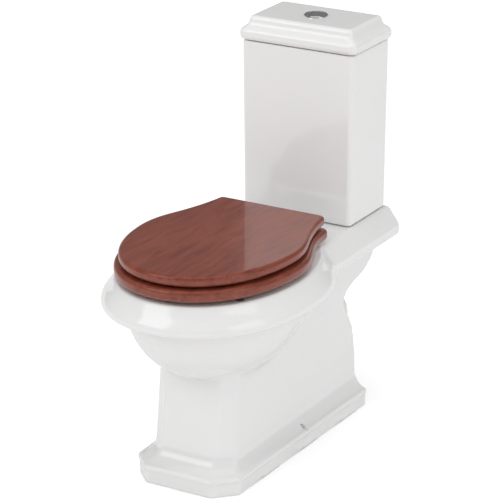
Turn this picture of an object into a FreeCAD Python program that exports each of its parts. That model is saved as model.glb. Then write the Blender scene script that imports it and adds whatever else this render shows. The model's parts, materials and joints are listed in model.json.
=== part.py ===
import FreeCAD, Part
import os
import math
import Sketcher
from FreeCAD import Vector, Placement, Rotation

# Close coupled toilet, all sizes in millimetres.
# Frame: +Z up, -Y towards the user, +Y towards the wall, origin on the floor
# in the middle of the footprint of the whole object.

doc = FreeCAD.newDocument("CloseCoupledToilet")

# ------------------------------------------------------------------ sizes
SIZES = [
    # pan: moulded rim
    ("half_depth", 376.5, "front of rim to back of shelf, half"),
    ("rim_y", -104.0, "widest station of the rim"),
    ("rim_a", 193.5, "half breadth of the rim at its lower edge"),
    ("rim_b", 250.0, "half length of the rim at its lower edge"),
    ("rim_low", 369.0, "lower edge of the rim moulding"),
    ("rim_top", 430.0, "top of the rim and of the shelf"),
    ("rim_nose_z", 385.0, "height of the widest point of the rim moulding"),
    ("rim_nose", 22.5, "how far the nose of the moulding stands out"),
    # pan: bowl
    ("bowl_a", 170.0, "half breadth of the outside of the bowl"),
    ("bowl_b", 230.0, "half length of the outside of the bowl"),
    ("bowl_drop", 168.0, "depth of the bowl under the rim"),
    ("mouth_y", -121.5, "middle of the bowl opening"),
    ("mouth_a", 122.0, "half breadth of the bowl opening"),
    ("mouth_b", 165.0, "half length of the bowl opening"),
    ("china", 12.0, "thickness of the ceramic"),
    # pan: pedestal and plinth
    ("ped_top_z", 250.0, "height of the upper pedestal section"),
    ("ped_front_top", -210.5, "front of the pedestal at the upper section"),
    ("ped_front_low", -231.5, "front of the pedestal above the plinth"),
    ("ped_half_top", 90.0, "half breadth, front, upper section"),
    ("ped_half_low", 94.0, "half breadth, front, above the plinth"),
    ("ped_rear_top", 98.0, "half breadth at the back, upper section"),
    ("ped_rear_low", 102.0, "half breadth at the back, above the plinth"),
    ("ped_cham_top", 25.0, "chamfer of the front corners, upper section"),
    ("ped_cham_low", 31.0, "chamfer of the front corners, above the plinth"),
    ("ped_low_z", 68.0, "top of the plinth moulding"),
    ("foot_z", 40.0, "height of the plinth foot"),
    ("foot_front", -270.5, "front of the plinth"),
    ("foot_rear", 292.0, "back of the plinth"),
    ("foot_half", 118.0, "half breadth of the plinth at the front"),
    ("foot_half_rear", 129.0, "half breadth of the plinth at the back"),
    ("foot_cham", 43.0, "chamfer of the plinth front corners"),
    # pan: shelf
    ("shelf_half", 131.0, "half breadth of the flat of the shelf"),
    ("shelf_nose", 160.0, "half breadth of the shelf moulding"),
    ("shelf_foot", 154.0, "half breadth of the shelf at its lower edge"),
    ("shelf_thick", 14.0, "thickness of the shelf plate"),
    # trap and outlet
    ("outlet_z", 180.0, "height of the outlet centre, P trap"),
    ("outlet_r", 51.0, "outside radius of the outlet spigot"),
    ("outlet_bore", 42.0, "inside radius of the trap"),
    ("outlet_end", 352.0, "end of the spigot"),
    # cistern
    ("cis_y", 208.5, "front face of the cistern"),
    ("cis_w", 255.0, "breadth of the cistern at its foot"),
    ("cis_d", 161.0, "depth of the cistern"),
    ("cis_base", 432.0, "underside of the cistern"),
    ("cis_top", 798.5, "top edge of the cistern"),
    ("cis_wall", 10.0, "cistern wall"),
    ("cis_floor", 14.0, "cistern floor"),
    ("cis_draft", 0.33, "outward lean of the cistern sides, degrees"),
    ("cis_mid", 80.5, "cistern front to the middle of the flush valve"),
    # cistern lid
    ("lid_over", 7.0, "overhang of the cistern lid"),
    ("lid_z", 800.0, "underside of the cistern lid"),
    ("lid_band", 27.0, "height of the rounded band of the lid"),
    ("lid_top", 849.5, "top of the cistern lid"),
    ("lid_in_x", 23.0, "step in of the raised top, sides"),
    ("lid_in_y", 23.0, "step in of the raised top, front and back"),
    # push button
    ("button_r", 20.5, "radius of the push buttons"),
    ("collar_r", 25.0, "radius of the button bezel"),
    ("press", 6.0, "travel of a push button"),
    # seat
    ("lid_a", 177.5, "half breadth of the seat lid"),
    ("lid_b", 240.0, "front half length of the seat lid"),
    ("ring_a", 187.3, "half breadth of the seat ring"),
    ("ring_b", 248.6, "front half length of the seat ring"),
    ("seat_n", 2.10, "fullness of the seat oval"),
    ("ring_z", 438.0, "underside of the ring"),
    ("ring_t", 24.0, "thickness of the ring"),
    ("slid_z", 466.5, "underside of the seat lid"),
    ("slid_t", 22.0, "thickness of the seat lid"),
    ("hole_a", 108.0, "half breadth of the opening in the ring"),
    ("hole_b", 138.0, "half length of the opening in the ring"),
    ("hole_y", -124.0, "middle of the opening in the ring"),
    # seat hinge
    ("bar_y", 128.5, "hinge bar"),
    ("bar_z", 460.0, "height of the hinge bar"),
    ("bar_r", 4.0, "radius of the hinge bar"),
    ("knuckle_r", 7.5, "outside radius of a hinge knuckle"),
    ("knuckle_bore", 4.06, "bore of a hinge knuckle"),
    ("post_x", 77.5, "hinge post from the centre line, 155 apart"),
    ("post_r", 9.0, "radius of a hinge post"),
    ("stud_r", 4.0, "M8 seat stud"),
    ("seat_hole", 7.0, "seat stud hole in the shelf"),
    # coupling
    ("bolt_x", 75.0, "coupling bolt from the centre line"),
    ("bolt_r", 4.0, "M8 coupling bolt"),
    ("bolt_hole", 6.0, "coupling bolt hole"),
    ("recess_r", 50.0, "recess for the doughnut washer"),
    ("recess_z", 406.0, "floor of the recess"),
    # flush valve
    ("tail_r", 29.0, "2 inch flush valve tail"),
    ("tail_hole", 31.5, "hole for the tail"),
    ("valve_bore", 23.0, "bore of the flush valve"),
    ("tower_r", 33.0, "radius of the flush valve cage"),
    ("tube_r", 12.0, "radius of the plunger tube"),
    ("rod_x", 12.0, "push rod from the centre line"),
    ("rod_y", 8.5, "push rod and lever from the middle of the valve"),
    ("stem_r", 4.0, "stem of the flush valve plunger"),
    # fill valve
    ("fill_x", -66.0, "fill valve from the centre line"),
    ("fill_dy", 124.0, "cistern front to the fill valve"),
    ("inlet_r", 10.48, "G 1/2 inlet tail"),
    ("column_r", 9.0, "fill valve column"),
    # fixings
    ("fix_y", 42.0, "floor bracket from the origin"),
    ("fix_z", 42.0, "height of the side fixing screw"),
    ("fix_hole", 4.5, "side fixing hole"),
    ("wall_hole", 4.0, "wall fixing hole in the cistern"),
    ("wall_hole_x", 75.0, "wall fixing hole from the centre line"),
    ("wall_hole_z", 700.0, "height of the wall fixing holes"),
]

sheet = doc.addObject("Spreadsheet::Sheet", "Sizes")
sheet.Label = "Sizes"
for row, (alias, value, note) in enumerate(SIZES, 1):
    sheet.set("A%d" % row, alias)
    sheet.set("B%d" % row, "%.6g" % value)
    sheet.set("C%d" % row, note)
    sheet.setAlias("B%d" % row, alias)
doc.recompute()


class Q:
    """A size: its value now, and the expression that binds it to the sheet."""

    def __init__(self, v, text):
        self.v = float(v)
        self.text = text

    def op(self, other, sign, swap=False):
        o = other if isinstance(other, Q) else Q(other, "%.9g" % other)
        a, b = (o, self) if swap else (self, o)
        if sign == "+":
            v = a.v + b.v
        elif sign == "-":
            v = a.v - b.v
        elif sign == "*":
            v = a.v * b.v
        else:
            v = a.v / b.v
        return Q(v, "(%s %s %s)" % (a.text, sign, b.text))

    def __add__(self, o): return self.op(o, "+")
    def __radd__(self, o): return self.op(o, "+", True)
    def __sub__(self, o): return self.op(o, "-")
    def __rsub__(self, o): return self.op(o, "-", True)
    def __mul__(self, o): return self.op(o, "*")
    def __rmul__(self, o): return self.op(o, "*", True)
    def __truediv__(self, o): return self.op(o, "/")
    def __neg__(self): return self.op(-1.0, "*")


class Sheet:
    pass


s = Sheet()
for alias, value, note in SIZES:
    setattr(s, alias, Q(sheet.get(alias), "<<Sizes>>." + alias))


def q(x):
    return x if isinstance(x, Q) else Q(x, "%.9g" % x)


def bind(obj, prop, x):
    obj.setExpression(prop, q(x).text)


def put(obj, x, y, z, rot=None):
    p = Placement(Vector(q(x).v, q(y).v, q(z).v), rot if rot else Rotation())
    obj.Placement = p
    bind(obj, "Placement.Base.x", x)
    bind(obj, "Placement.Base.y", y)
    bind(obj, "Placement.Base.z", z)
    return obj


TURN = {"z": None, "x": Rotation(Vector(0, 1, 0), 90), "y": Rotation(Vector(1, 0, 0), -90),
        "-z": Rotation(Vector(1, 0, 0), 180)}


def box(name, lx, ly, lz, x, y, z, rot=None):
    """Block with its low corner at x, y, z."""
    b = doc.addObject("Part::Box", name)
    bind(b, "Length", lx)
    bind(b, "Width", ly)
    bind(b, "Height", lz)
    return put(b, x, y, z, rot)


def cyl(name, r, length, x, y, z, axis="z"):
    """Cylinder from x, y, z along its axis."""
    c = doc.addObject("Part::Cylinder", name)
    bind(c, "Radius", r)
    bind(c, "Height", length)
    return put(c, x, y, z, TURN[axis])


def cone(name, r_low, r_high, length, x, y, z, axis="z"):
    c = doc.addObject("Part::Cone", name)
    bind(c, "Radius1", r_low)
    bind(c, "Radius2", r_high)
    bind(c, "Height", length)
    return put(c, x, y, z, TURN[axis])


def prism(name, sides, r, length, x, y, z, axis="z"):
    c = doc.addObject("Part::Prism", name)
    c.Polygon = sides
    bind(c, "Circumradius", r)
    bind(c, "Height", length)
    return put(c, x, y, z, TURN[axis])


def fuse(name, parts):
    f = doc.addObject("Part::MultiFuse", name)
    f.Shapes = parts
    return f


def cut(name, base, *tools):
    tool = tools[0] if len(tools) == 1 else fuse(name + "_tools", list(tools))
    c = doc.addObject("Part::Cut", name)
    c.Base = base
    c.Tool = tool
    return c


def common(name, parts):
    f = doc.addObject("Part::MultiCommon", name)
    f.Shapes = parts
    return f


def group(name, parts):
    """Separate, identical pieces that share one node."""
    c = doc.addObject("Part::Compound", name)
    c.Links = parts
    return c


NODES = []


def node(obj, label):
    obj.Label = label
    NODES.append(obj)
    return obj


def plane_of(body, role):
    for f in body.Origin.OriginFeatures:
        if f.Role == role:
            return f
    raise RuntimeError("no plane " + role)


def new_body(name):
    return doc.addObject("PartDesign::Body", name)


def sketch_on(body, name, role, offset=None):
    sk = body.newObject("Sketcher::SketchObject", name)
    sk.AttachmentSupport = [(plane_of(body, role), "")]
    sk.MapMode = "FlatFace"
    if offset is not None:
        sk.AttachmentOffset = Placement(Vector(0, 0, q(offset).v), Rotation())
        bind(sk, "AttachmentOffset.Base.z", offset)
    return sk


def dimension(sk, kind, geo, point, value):
    value = q(value)
    if abs(value.v) < 1e-9:
        sk.addConstraint(Sketcher.Constraint("PointOnObject", geo, point, -2 if kind == "DistanceX" else -1))
        return
    if value.v > 0:
        k = sk.addConstraint(Sketcher.Constraint(kind, -1, 1, geo, point, value.v))
    else:
        value = -value
        k = sk.addConstraint(Sketcher.Constraint(kind, geo, point, -1, 1, value.v))
    bind(sk, "Constraints[%d]" % k, value)


def polygon(sk, points):
    """Closed outline, every corner held by two dimensions from the origin."""
    pts = [(q(x), q(y)) for x, y in points]
    n = len(pts)
    for i in range(n):
        a, b = pts[i], pts[(i + 1) % n]
        sk.addGeometry(Part.LineSegment(Vector(a[0].v, a[1].v, 0), Vector(b[0].v, b[1].v, 0)), False)
    for i in range(n):
        sk.addConstraint(Sketcher.Constraint("Coincident", i, 2, (i + 1) % n, 1))
    for i in range(n):
        dimension(sk, "DistanceX", i, 1, pts[i][0])
        dimension(sk, "DistanceY", i, 1, pts[i][1])


def turned(name, profile, x, y, z):
    """Turned piece: its profile (radius, height) revolved about the upright axis at x, y."""
    body = new_body(name)
    sk = sketch_on(body, name + "_profile", "XZ_Plane")
    polygon(sk, profile)
    rev = body.newObject("PartDesign::Revolution", name + "_turn")
    rev.Profile = sk
    rev.ReferenceAxis = (sk, ["V_Axis"])
    rev.Angle = 360.0
    body.Tip = rev
    return put(body, x, y, z)


# ---------------------------------------------------------- plan outlines
def oval_point(a, b_front, b_rear, yc, n, t):
    c, d = math.cos(t), math.sin(t)
    x = math.copysign(abs(c) ** (2.0 / n), c)
    y = math.copysign(abs(d) ** (2.0 / n), d)
    return a * x, yc + (b_rear if y > 0 else b_front) * y


def oval_wire(a, b_front, b_rear, yc, z):
    """Closed ellipse with its long axis along Y."""
    b = (b_front + b_rear) / 2.0
    mid = yc + (b_rear - b_front) / 2.0
    return Part.Wire([Part.Ellipse(Vector(0, mid - b, z), Vector(a, mid, z), Vector(0, mid, z)).toShape()])


def oval_loft(name, levels):
    """Solid through ellipses (z, half breadth, front, rear, middle), straight between them."""
    wires = [oval_wire(a, bf, br, yc, z) for z, a, bf, br, yc in levels]
    f = doc.addObject("Part::Feature", name)
    f.Shape = Part.makeLoft(wires, True, True)
    return f


# Half breadth of the seat behind its widest station: the sides run in with an
# S curve to a narrow tail at the hinge.
LID_TAIL = [(-82.0, 175.5), (-58.0, 170.5), (-32.0, 162.0), (-5.0, 151.5), (22.0, 142.5),
            (48.0, 135.2), (73.0, 129.5), (96.0, 125.3), (112.0, 123.2)]
RING_TAIL = [(-82.0, 185.3), (-58.0, 180.5), (-32.0, 171.0), (-6.0, 159.5), (20.0, 148.5),
             (45.0, 140.4), (70.0, 135.2), (94.0, 132.0), (112.0, 130.4)]


def seat_curve(a, b, tail, n):
    """Right side, round the front, left side, as one curve open at the hinge."""
    pts = [Vector(x, y, 0) for y, x in reversed(tail)]
    k = 22
    for i in range(k + 1):
        x, y = oval_point(a, b, b, s.rim_y.v, n, -math.pi * i / k)
        pts.append(Vector(x, y, 0))
    pts += [Vector(-x, y, 0) for y, x in tail]
    curve = Part.BSplineCurve()
    curve.interpolate(Points=pts)
    return curve


def seat_sketch(body, name, a, b, tail, n):
    sk = sketch_on(body, name, "XY_Plane")
    curve = seat_curve(a, b, tail, n)
    sk.addGeometry(curve, False)
    p, r = curve.value(curve.LastParameter), curve.value(curve.FirstParameter)
    sk.addGeometry(Part.LineSegment(p, r), False)
    sk.addConstraint(Sketcher.Constraint("Block", 0))
    sk.addConstraint(Sketcher.Constraint("Coincident", 0, 2, 1, 1))
    sk.addConstraint(Sketcher.Constraint("Coincident", 1, 2, 0, 1))
    return sk


def edges_where(shape, test):
    return ["Edge%d" % (i + 1) for i, e in enumerate(shape.Edges) if test(e)]


# ------------------------------------------------------------------- pan
def offset_levels(rows):
    """Rim moulding: (height, how far out from the lower edge)."""
    return [(z, s.rim_a.v + d, s.rim_b.v + d, s.rim_b.v + d, s.rim_y.v) for z, d in rows]


nose = s.rim_nose.v
rim_outer = oval_loft("rim_outer", offset_levels([
    (s.rim_low.v, 0.0), (s.rim_low.v + 6.0, 0.72 * nose), (s.rim_nose_z.v, nose),
    (s.rim_nose_z.v + 12.0, 0.82 * nose), (s.rim_nose_z.v + 26.0, 0.34 * nose),
    (s.rim_top.v - 6.0, 0.0), (s.rim_top.v, -7.0)]))

# outside of the bowl: a deep rounded basin under the rim
bowl_rows = []
for k in (0.0, 0.2, 0.4, 0.6, 0.75, 0.87, 0.95):
    w = math.sqrt(1.0 - k * k)
    bowl_rows.append((s.rim_low.v + 8.0 - k * (s.bowl_drop.v + 8.0), s.bowl_a.v * w, s.bowl_b.v * w, s.bowl_b.v * w,
                      s.rim_y.v))
bowl_outer = oval_loft("bowl_outer", bowl_rows)


def plan(name, z, front, rear, half, half_rear, cham):
    """Flat outline of the pedestal: straight sides, chamfered front corners."""
    sk = doc.addObject("Sketcher::SketchObject", name)
    polygon(sk, [(half_rear, rear), (half, front + cham), (half - cham, front),
                 (-(half - cham), front), (-half, front + cham), (-half_rear, rear)])
    sk.Placement = Placement(Vector(0, 0, q(z).v), Rotation())
    bind(sk, "Placement.Base.z", z)
    return sk


def loft(name, sections):
    f = doc.addObject("Part::Loft", name)
    f.Sections = sections
    f.Solid = True
    f.Ruled = True
    return f


far = s.half_depth
foot = loft("foot_block", [
    plan("foot_plan_low", 0.0, s.foot_front, s.foot_rear, s.foot_half, s.foot_half_rear, s.foot_cham),
    plan("foot_plan_top", s.foot_z, s.foot_front, s.foot_rear, s.foot_half, s.foot_half_rear, s.foot_cham)])
flare = loft("plinth_flare", [
    plan("flare_plan_low", s.foot_z, s.foot_front + 6.0, s.foot_rear - 6.0, s.foot_half - 6.0, s.foot_half_rear - 6.0, s.foot_cham - 3.0),
    plan("flare_plan_top", s.ped_low_z, s.ped_front_low, s.foot_rear - 30.0, s.ped_half_low, s.ped_rear_low, s.ped_cham_low)])
column_low = loft("column_low", [
    plan("column_plan_low", s.foot_z, s.ped_front_low, far, s.ped_half_low, s.ped_rear_low, s.ped_cham_low),
    plan("column_plan_mid", s.ped_top_z, s.ped_front_top, far, s.ped_half_top, s.ped_rear_top, s.ped_cham_top)])
column_high = loft("column_high", [
    plan("column_plan_mid2", s.ped_top_z, s.ped_front_top, far, s.ped_half_top, s.ped_rear_top, s.ped_cham_top),
    plan("column_plan_top", s.rim_low + 12.0, s.ped_front_top + 60.0, far, s.ped_half_top, s.ped_rear_top, s.ped_cham_top)])
column = fuse("column", [column_low, column_high])

# The back edge of the side walls is an ogee: out at the shelf, waisted below it, out again at the plinth.
side = new_body("side_profile")
side_sk = sketch_on(side, "side_outline", "YZ_Plane")
OGEE = [(376.5, 333.0), (373.0, 318.0), (357.0, 303.5), (330.0, 289.0), (287.0, 278.5),
        (258.0, 266.0), (247.0, 250.0), (253.0, 229.0), (269.0, 205.0), (281.0, 182.0), (287.0, 152.0),
        (291.0, 122.0), (293.0, 100.0), (294.0, 60.0)]
ogee = Part.BSplineCurve()
ogee.interpolate(Points=[Vector(y, z, 0) for y, z in OGEE])
side_sk.addGeometry(ogee, False)
corner = [(294.0, 0.0), (-400.0, 0.0), (-400.0, 440.0), (376.5, 440.0)]
chain = [OGEE[-1]] + corner + [OGEE[0]]
for (y1, z1), (y2, z2) in zip(chain[:-1], chain[1:]):
    side_sk.addGeometry(Part.LineSegment(Vector(y1, z1, 0), Vector(y2, z2, 0)), False)
for g in range(6):
    side_sk.addConstraint(Sketcher.Constraint("Block", g))
side_pad = side.newObject("PartDesign::Pad", "side_width")
side_pad.Profile = side_sk
side_pad.Midplane = True
bind(side_pad, "Length", s.shelf_nose * 2 + 100.0)
side.Tip = side_pad
waisted = common("waisted_column", [column, side])

# shelf under the cistern, with a moulded edge: sloped, nosed and undercut
shelf_body = new_body("shelf_moulding")
shelf_sk = sketch_on(shelf_body, "shelf_section", "XZ_Plane")
polygon(shelf_sk, [
    (s.shelf_half, s.rim_top), (s.shelf_half + 4.0, s.rim_top - 3.0), (s.shelf_nose - 4.0, s.rim_low + 29.0), (s.shelf_nose, s.rim_low + 18.0),
    (s.shelf_nose - 1.5, s.rim_low + 6.0), (s.shelf_foot, s.rim_low),
    (-s.shelf_foot, s.rim_low), (-(s.shelf_nose - 1.5), s.rim_low + 6.0), (-s.shelf_nose, s.rim_low + 18.0),
    (-(s.shelf_nose - 4.0), s.rim_low + 29.0), (-(s.shelf_half + 4.0), s.rim_top - 3.0), (-s.shelf_half, s.rim_top)])
shelf_pad = shelf_body.newObject("PartDesign::Pad", "shelf_run")
shelf_pad.Profile = shelf_sk
bind(shelf_pad, "Length", s.half_depth - 20.0)
shelf_pad.Reversed = False
shelf_body.Tip = shelf_pad
# an XZ sketch pads towards -Y, so the body starts at the wall
put(shelf_body, 0.0, s.half_depth, 0.0)

pan_outer = fuse("pan_outer", [foot, flare, waisted, rim_outer, bowl_outer, shelf_body])

# hollow inside the pedestal, open at the floor and at the back
back = far + 10.0
hollow_foot = loft("hollow_foot", [
    plan("hollow_plan_f0", -5.0, s.foot_front + 14.0, back, s.foot_half - 14.0, s.foot_half_rear - 14.0, 36.0),
    plan("hollow_plan_f1", s.foot_z - 8.0, s.foot_front + 14.0, back, s.foot_half - 14.0, s.foot_half_rear - 14.0, 36.0)])
hollow_flare = loft("hollow_flare", [
    plan("hollow_plan_g0", s.foot_z - 8.0, s.foot_front + 16.0, back, s.foot_half - 16.0, s.foot_half_rear - 16.0, 36.0),
    plan("hollow_plan_g1", s.ped_low_z - 4.0, s.ped_front_low + 14.0, back, s.ped_half_low - 13.0, s.ped_rear_low - 12.0, 24.0)])
hollow_low = loft("hollow_low", [
    plan("hollow_plan_0", 20.0, s.ped_front_low + 14.0, back, s.ped_half_low - 13.0, s.ped_rear_low - 12.0, 24.0),
    plan("hollow_plan_1", s.ped_top_z - 60.0, s.ped_front_top + 20.0, back, s.ped_half_top - 13.0, s.ped_rear_top - 12.0, 20.0)])
hollow_high = loft("hollow_high", [
    plan("hollow_plan_2", s.ped_top_z - 60.0, s.ped_front_top + 20.0, back, s.ped_half_top - 13.0, s.ped_rear_top - 12.0, 20.0),
    plan("hollow_plan_3", s.rim_top - s.shelf_thick, s.ped_front_top + 150.0, back, s.ped_half_top - 13.0, s.ped_rear_top - 12.0, 20.0)])
# space between the two skins of the bowl, and inside the box of the rim
c = s.china.v
skin_rows = [(z, a - c, bf - c, br - c, yc) for z, a, bf, br, yc in reversed(bowl_rows[1:])]
skin_rows += [(s.rim_low.v + 7.0, s.bowl_a.v - c + 1.0, s.bowl_b.v - c + 1.0, s.bowl_b.v - c + 1.0, s.rim_y.v),
              (s.rim_low.v + 21.0, s.rim_a.v - 13.0, s.rim_b.v - 13.0, s.rim_b.v - 13.0, s.rim_y.v),
              (s.rim_low.v + 34.0, s.rim_a.v - 10.0, s.rim_b.v - 10.0, s.rim_b.v - 10.0, s.rim_y.v),
              (s.rim_top.v - s.shelf_thick.v - 3.0, s.rim_a.v - 17.0, s.rim_b.v - 17.0, s.rim_b.v - 17.0, s.rim_y.v)]
skin_gap = oval_loft("skin_gap", skin_rows)
inlet_y = s.cis_y + s.cis_mid
relief_z = s.rim_top - s.shelf_thick - 36.0
reliefs = fuse("nut_reliefs", [box("post_relief_r", 43.0, 70.0, 36.0, 56.0, s.bar_y - 48.5, relief_z),
                               box("post_relief_l", 43.0, 70.0, 36.0, -99.0, s.bar_y - 48.5, relief_z),
                               cyl("bolt_relief_r", 20.0, 36.0, s.bolt_x, inlet_y, relief_z),
                               cyl("bolt_relief_l", 20.0, 36.0, -s.bolt_x, inlet_y, relief_z)])
hollow = fuse("hollow", [hollow_foot, hollow_flare, hollow_low, hollow_high, skin_gap, reliefs])

# inside of the bowl: full at the rim, running back to the sump of the trap
inner_rows = [
    (s.rim_top.v + 5.0, s.mouth_a.v, s.mouth_b.v, s.mouth_b.v, s.mouth_y.v),
    (s.rim_low.v, s.mouth_a.v - 2.0, s.mouth_b.v - 2.0, s.mouth_b.v - 2.0, s.mouth_y.v),
    (320.0, s.mouth_a.v - 16.0, s.mouth_b.v - 22.0, s.mouth_b.v - 12.0, s.mouth_y.v + 4.0),
    (270.0, s.mouth_a.v - 40.0, s.mouth_b.v - 60.0, s.mouth_b.v - 44.0, s.mouth_y.v + 14.0),
    (225.0, s.mouth_a.v - 62.0, s.mouth_b.v - 100.0, s.mouth_b.v - 84.0, s.mouth_y.v + 32.0),
    (185.0, 46.0, 48.0, 50.0, s.mouth_y.v + 46.0)]
bowl_inner = oval_loft("bowl_inner", inner_rows)
t = s.china.v
wall_rows = [(z if i else s.rim_top.v, a + t, bf + t, br + t, yc) for i, (z, a, bf, br, yc) in enumerate(inner_rows)]
bowl_wall = oval_loft("bowl_wall", wall_rows)


# trap: sump, rise to the weir, outlet
def trap(name, radius, first, last):
    """Pipe of the trap: straight runs joined by tangent arcs."""
    sump_y = s.mouth_y.v + 46.0
    low = 148.0
    pts = [Vector(0, sump_y - first, low), Vector(0, sump_y + 30.0, low), Vector(0, 62.0, s.outlet_z.v + 30.0),
           Vector(0, 150.0, s.outlet_z.v), Vector(0, last, s.outlet_z.v)]
    edges = []
    start = pts[0]
    for i in range(1, len(pts) - 1):
        a, b, c = pts[i - 1], pts[i], pts[i + 1]
        u = (a - b).normalize()
        v = (c - b).normalize()
        d = min((a - b).Length, (c - b).Length) * 0.42
        p1, p2 = b + u * d, b + v * d
        half = math.acos(max(-1.0, min(1.0, u.dot(v)))) / 2.0
        m = (u + v).normalize()
        r = d * math.tan(half)
        centre = b + m * (d / math.cos(half))
        mid = centre - m * r
        if (p1 - start).Length > 1e-3:
            edges.append(Part.LineSegment(start, p1).toShape())
        edges.append(Part.Arc(p1, mid, p2).toShape())
        start = p2
    edges.append(Part.LineSegment(start, pts[-1]).toShape())
    path = Part.Wire(edges)
    d0 = (pts[1] - pts[0]).normalize()
    ring = Part.Wire([Part.Circle(pts[0], d0, radius).toShape()])
    pipe = path.makePipeShell([ring], True, True)
    f = doc.addObject("Part::Feature", name)
    f.Shape = pipe
    return f


trap_outer = trap("trap_outer", s.outlet_r.v, 30.0, s.outlet_end.v)
trap_inner = trap("trap_inner", s.outlet_bore.v, 20.0, s.outlet_end.v + 20.0)
sump_outer = doc.addObject("Part::Sphere", "sump_outer")
bind(sump_outer, "Radius", 46.0 + s.china)
put(sump_outer, 0.0, s.mouth_y + 46.0, 160.0)
sump_inner = doc.addObject("Part::Sphere", "sump_inner")
bind(sump_inner, "Radius", 46.5)
put(sump_inner, 0.0, s.mouth_y + 46.0, 160.0)

# bosses and water way under the shelf
chamber_wall = cyl("chamber_wall", 46.0, 60.0, 0.0, inlet_y, 348.0)
recess_wall = cyl("recess_wall", s.recess_r + 9.0, s.rim_top - 394.0, 0.0, inlet_y, 394.0)
water_wall = box("water_wall", 64.0, 240.0, 66.0, -32.0, s.mouth_y + 150.0, 348.0)
chamber = cyl("chamber", 34.0, 60.0, 0.0, inlet_y, 360.0)
recess = cyl("doughnut_recess", s.recess_r, 40.0, 0.0, inlet_y, s.recess_z)
water_way = box("water_way", 40.0, 262.0, 34.0, -20.0, s.mouth_y + 130.0, 360.0)
seat_holes = fuse("seat_holes", [cyl("seat_hole_r", s.seat_hole, 60.0, s.post_x, s.bar_y, 390.0),
                                 cyl("seat_hole_l", s.seat_hole, 60.0, -s.post_x, s.bar_y, 390.0)])
bolt_holes = fuse("bolt_holes", [cyl("pan_bolt_r", s.bolt_hole, 60.0, s.bolt_x, inlet_y, 390.0),
                                 cyl("pan_bolt_l", s.bolt_hole, 60.0, -s.bolt_x, inlet_y, 390.0)])
inlet_hole = cyl("inlet_hole", 21.0, 60.0, s.fill_x, s.cis_y + s.fill_dy, 390.0)
side_holes = cyl("side_holes", s.fix_hole, 300.0, -150.0, s.fix_y, s.fix_z, "x")

# the walls of the bowl and the trap stand inside the hollow
china_walls = fuse("china_walls", [bowl_wall, trap_outer, sump_outer, chamber_wall, recess_wall, water_wall])
waterways = fuse("waterways", [bowl_inner, trap_inner, sump_inner, chamber, recess, water_way])
pan_block = fuse("pan_block", [pan_outer, trap_outer])
pan_void = cut("pan_void", hollow, china_walls)
pan_shell = cut("pan_shell", pan_block, pan_void)
pan_solid = cut("pan_solid", pan_shell, waterways)
pan_drilled = cut("pan_drilled", pan_solid, seat_holes, bolt_holes, inlet_hole)
pan = cut("pan_cut", pan_drilled, side_holes)
node(pan, "pan")

# --------------------------------------------------------------- cistern
tall = s.cis_top - s.cis_base
cistern = new_body("cistern_body")
cis_sk = sketch_on(cistern, "cistern_foot", "XY_Plane")
polygon(cis_sk, [(s.cis_w / 2, 0.0), (s.cis_w / 2, s.cis_d), (-s.cis_w / 2, s.cis_d), (-s.cis_w / 2, 0.0)])
cis_pad = cistern.newObject("PartDesign::Pad", "cistern_pad")
cis_pad.Profile = cis_sk
bind(cis_pad, "Length", tall)
bind(cis_pad, "TaperAngle", s.cis_draft)
doc.recompute()
upright = edges_where(cis_pad.Shape, lambda e: abs(e.Vertexes[0].Z - e.Vertexes[-1].Z) > 100.0)
cis_round = cistern.newObject("PartDesign::Fillet", "cistern_corners")
cis_round.Base = (cis_pad, upright)
cis_round.Radius = 11.0
doc.recompute()
foot_edges = edges_where(cis_round.Shape, lambda e: max(v.Z for v in e.Vertexes) < 1.0)
cis_round2 = cistern.newObject("PartDesign::Fillet", "cistern_foot_edge")
cis_round2.Base = (cis_round, foot_edges)
cis_round2.Radius = 4.0
cistern.Tip = cis_round2
put(cistern, 0.0, s.cis_y, s.cis_base)
inside = box("cistern_inside", s.cis_w - s.cis_wall * 2, s.cis_d - s.cis_wall * 2, tall + 10.0,
             -(s.cis_w / 2 - s.cis_wall), s.cis_y + s.cis_wall, s.cis_base + s.cis_floor)
inside_round = doc.addObject("Part::Fillet", "cistern_inside_round")
inside_round.Base = inside
doc.recompute()
inside_round.Edges = [(i + 1, 8.0, 8.0) for i, e in enumerate(inside.Shape.Edges)
                      if abs(e.Vertexes[0].Z - e.Vertexes[-1].Z) > 100.0]
cis_floor_z = s.cis_base - 5.0
cis_cut = cut("cistern_cut", cistern, inside_round,
              cyl("cis_tail_hole", s.tail_hole, 40.0, 0.0, inlet_y, cis_floor_z),
              cyl("cis_bolt_r", s.bolt_hole, 40.0, s.bolt_x, inlet_y, cis_floor_z),
              cyl("cis_bolt_l", s.bolt_hole, 40.0, -s.bolt_x, inlet_y, cis_floor_z),
              cyl("cis_inlet", 12.0, 40.0, s.fill_x, s.cis_y + s.fill_dy, cis_floor_z),
              cyl("cis_wall_r", s.wall_hole, 40.0, s.wall_hole_x, s.cis_y + s.cis_d - 20.0, s.wall_hole_z, "y"),
              cyl("cis_wall_l", s.wall_hole, 40.0, -s.wall_hole_x, s.cis_y + s.cis_d - 20.0, s.wall_hole_z, "y"))
node(cis_cut, "cistern")

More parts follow.
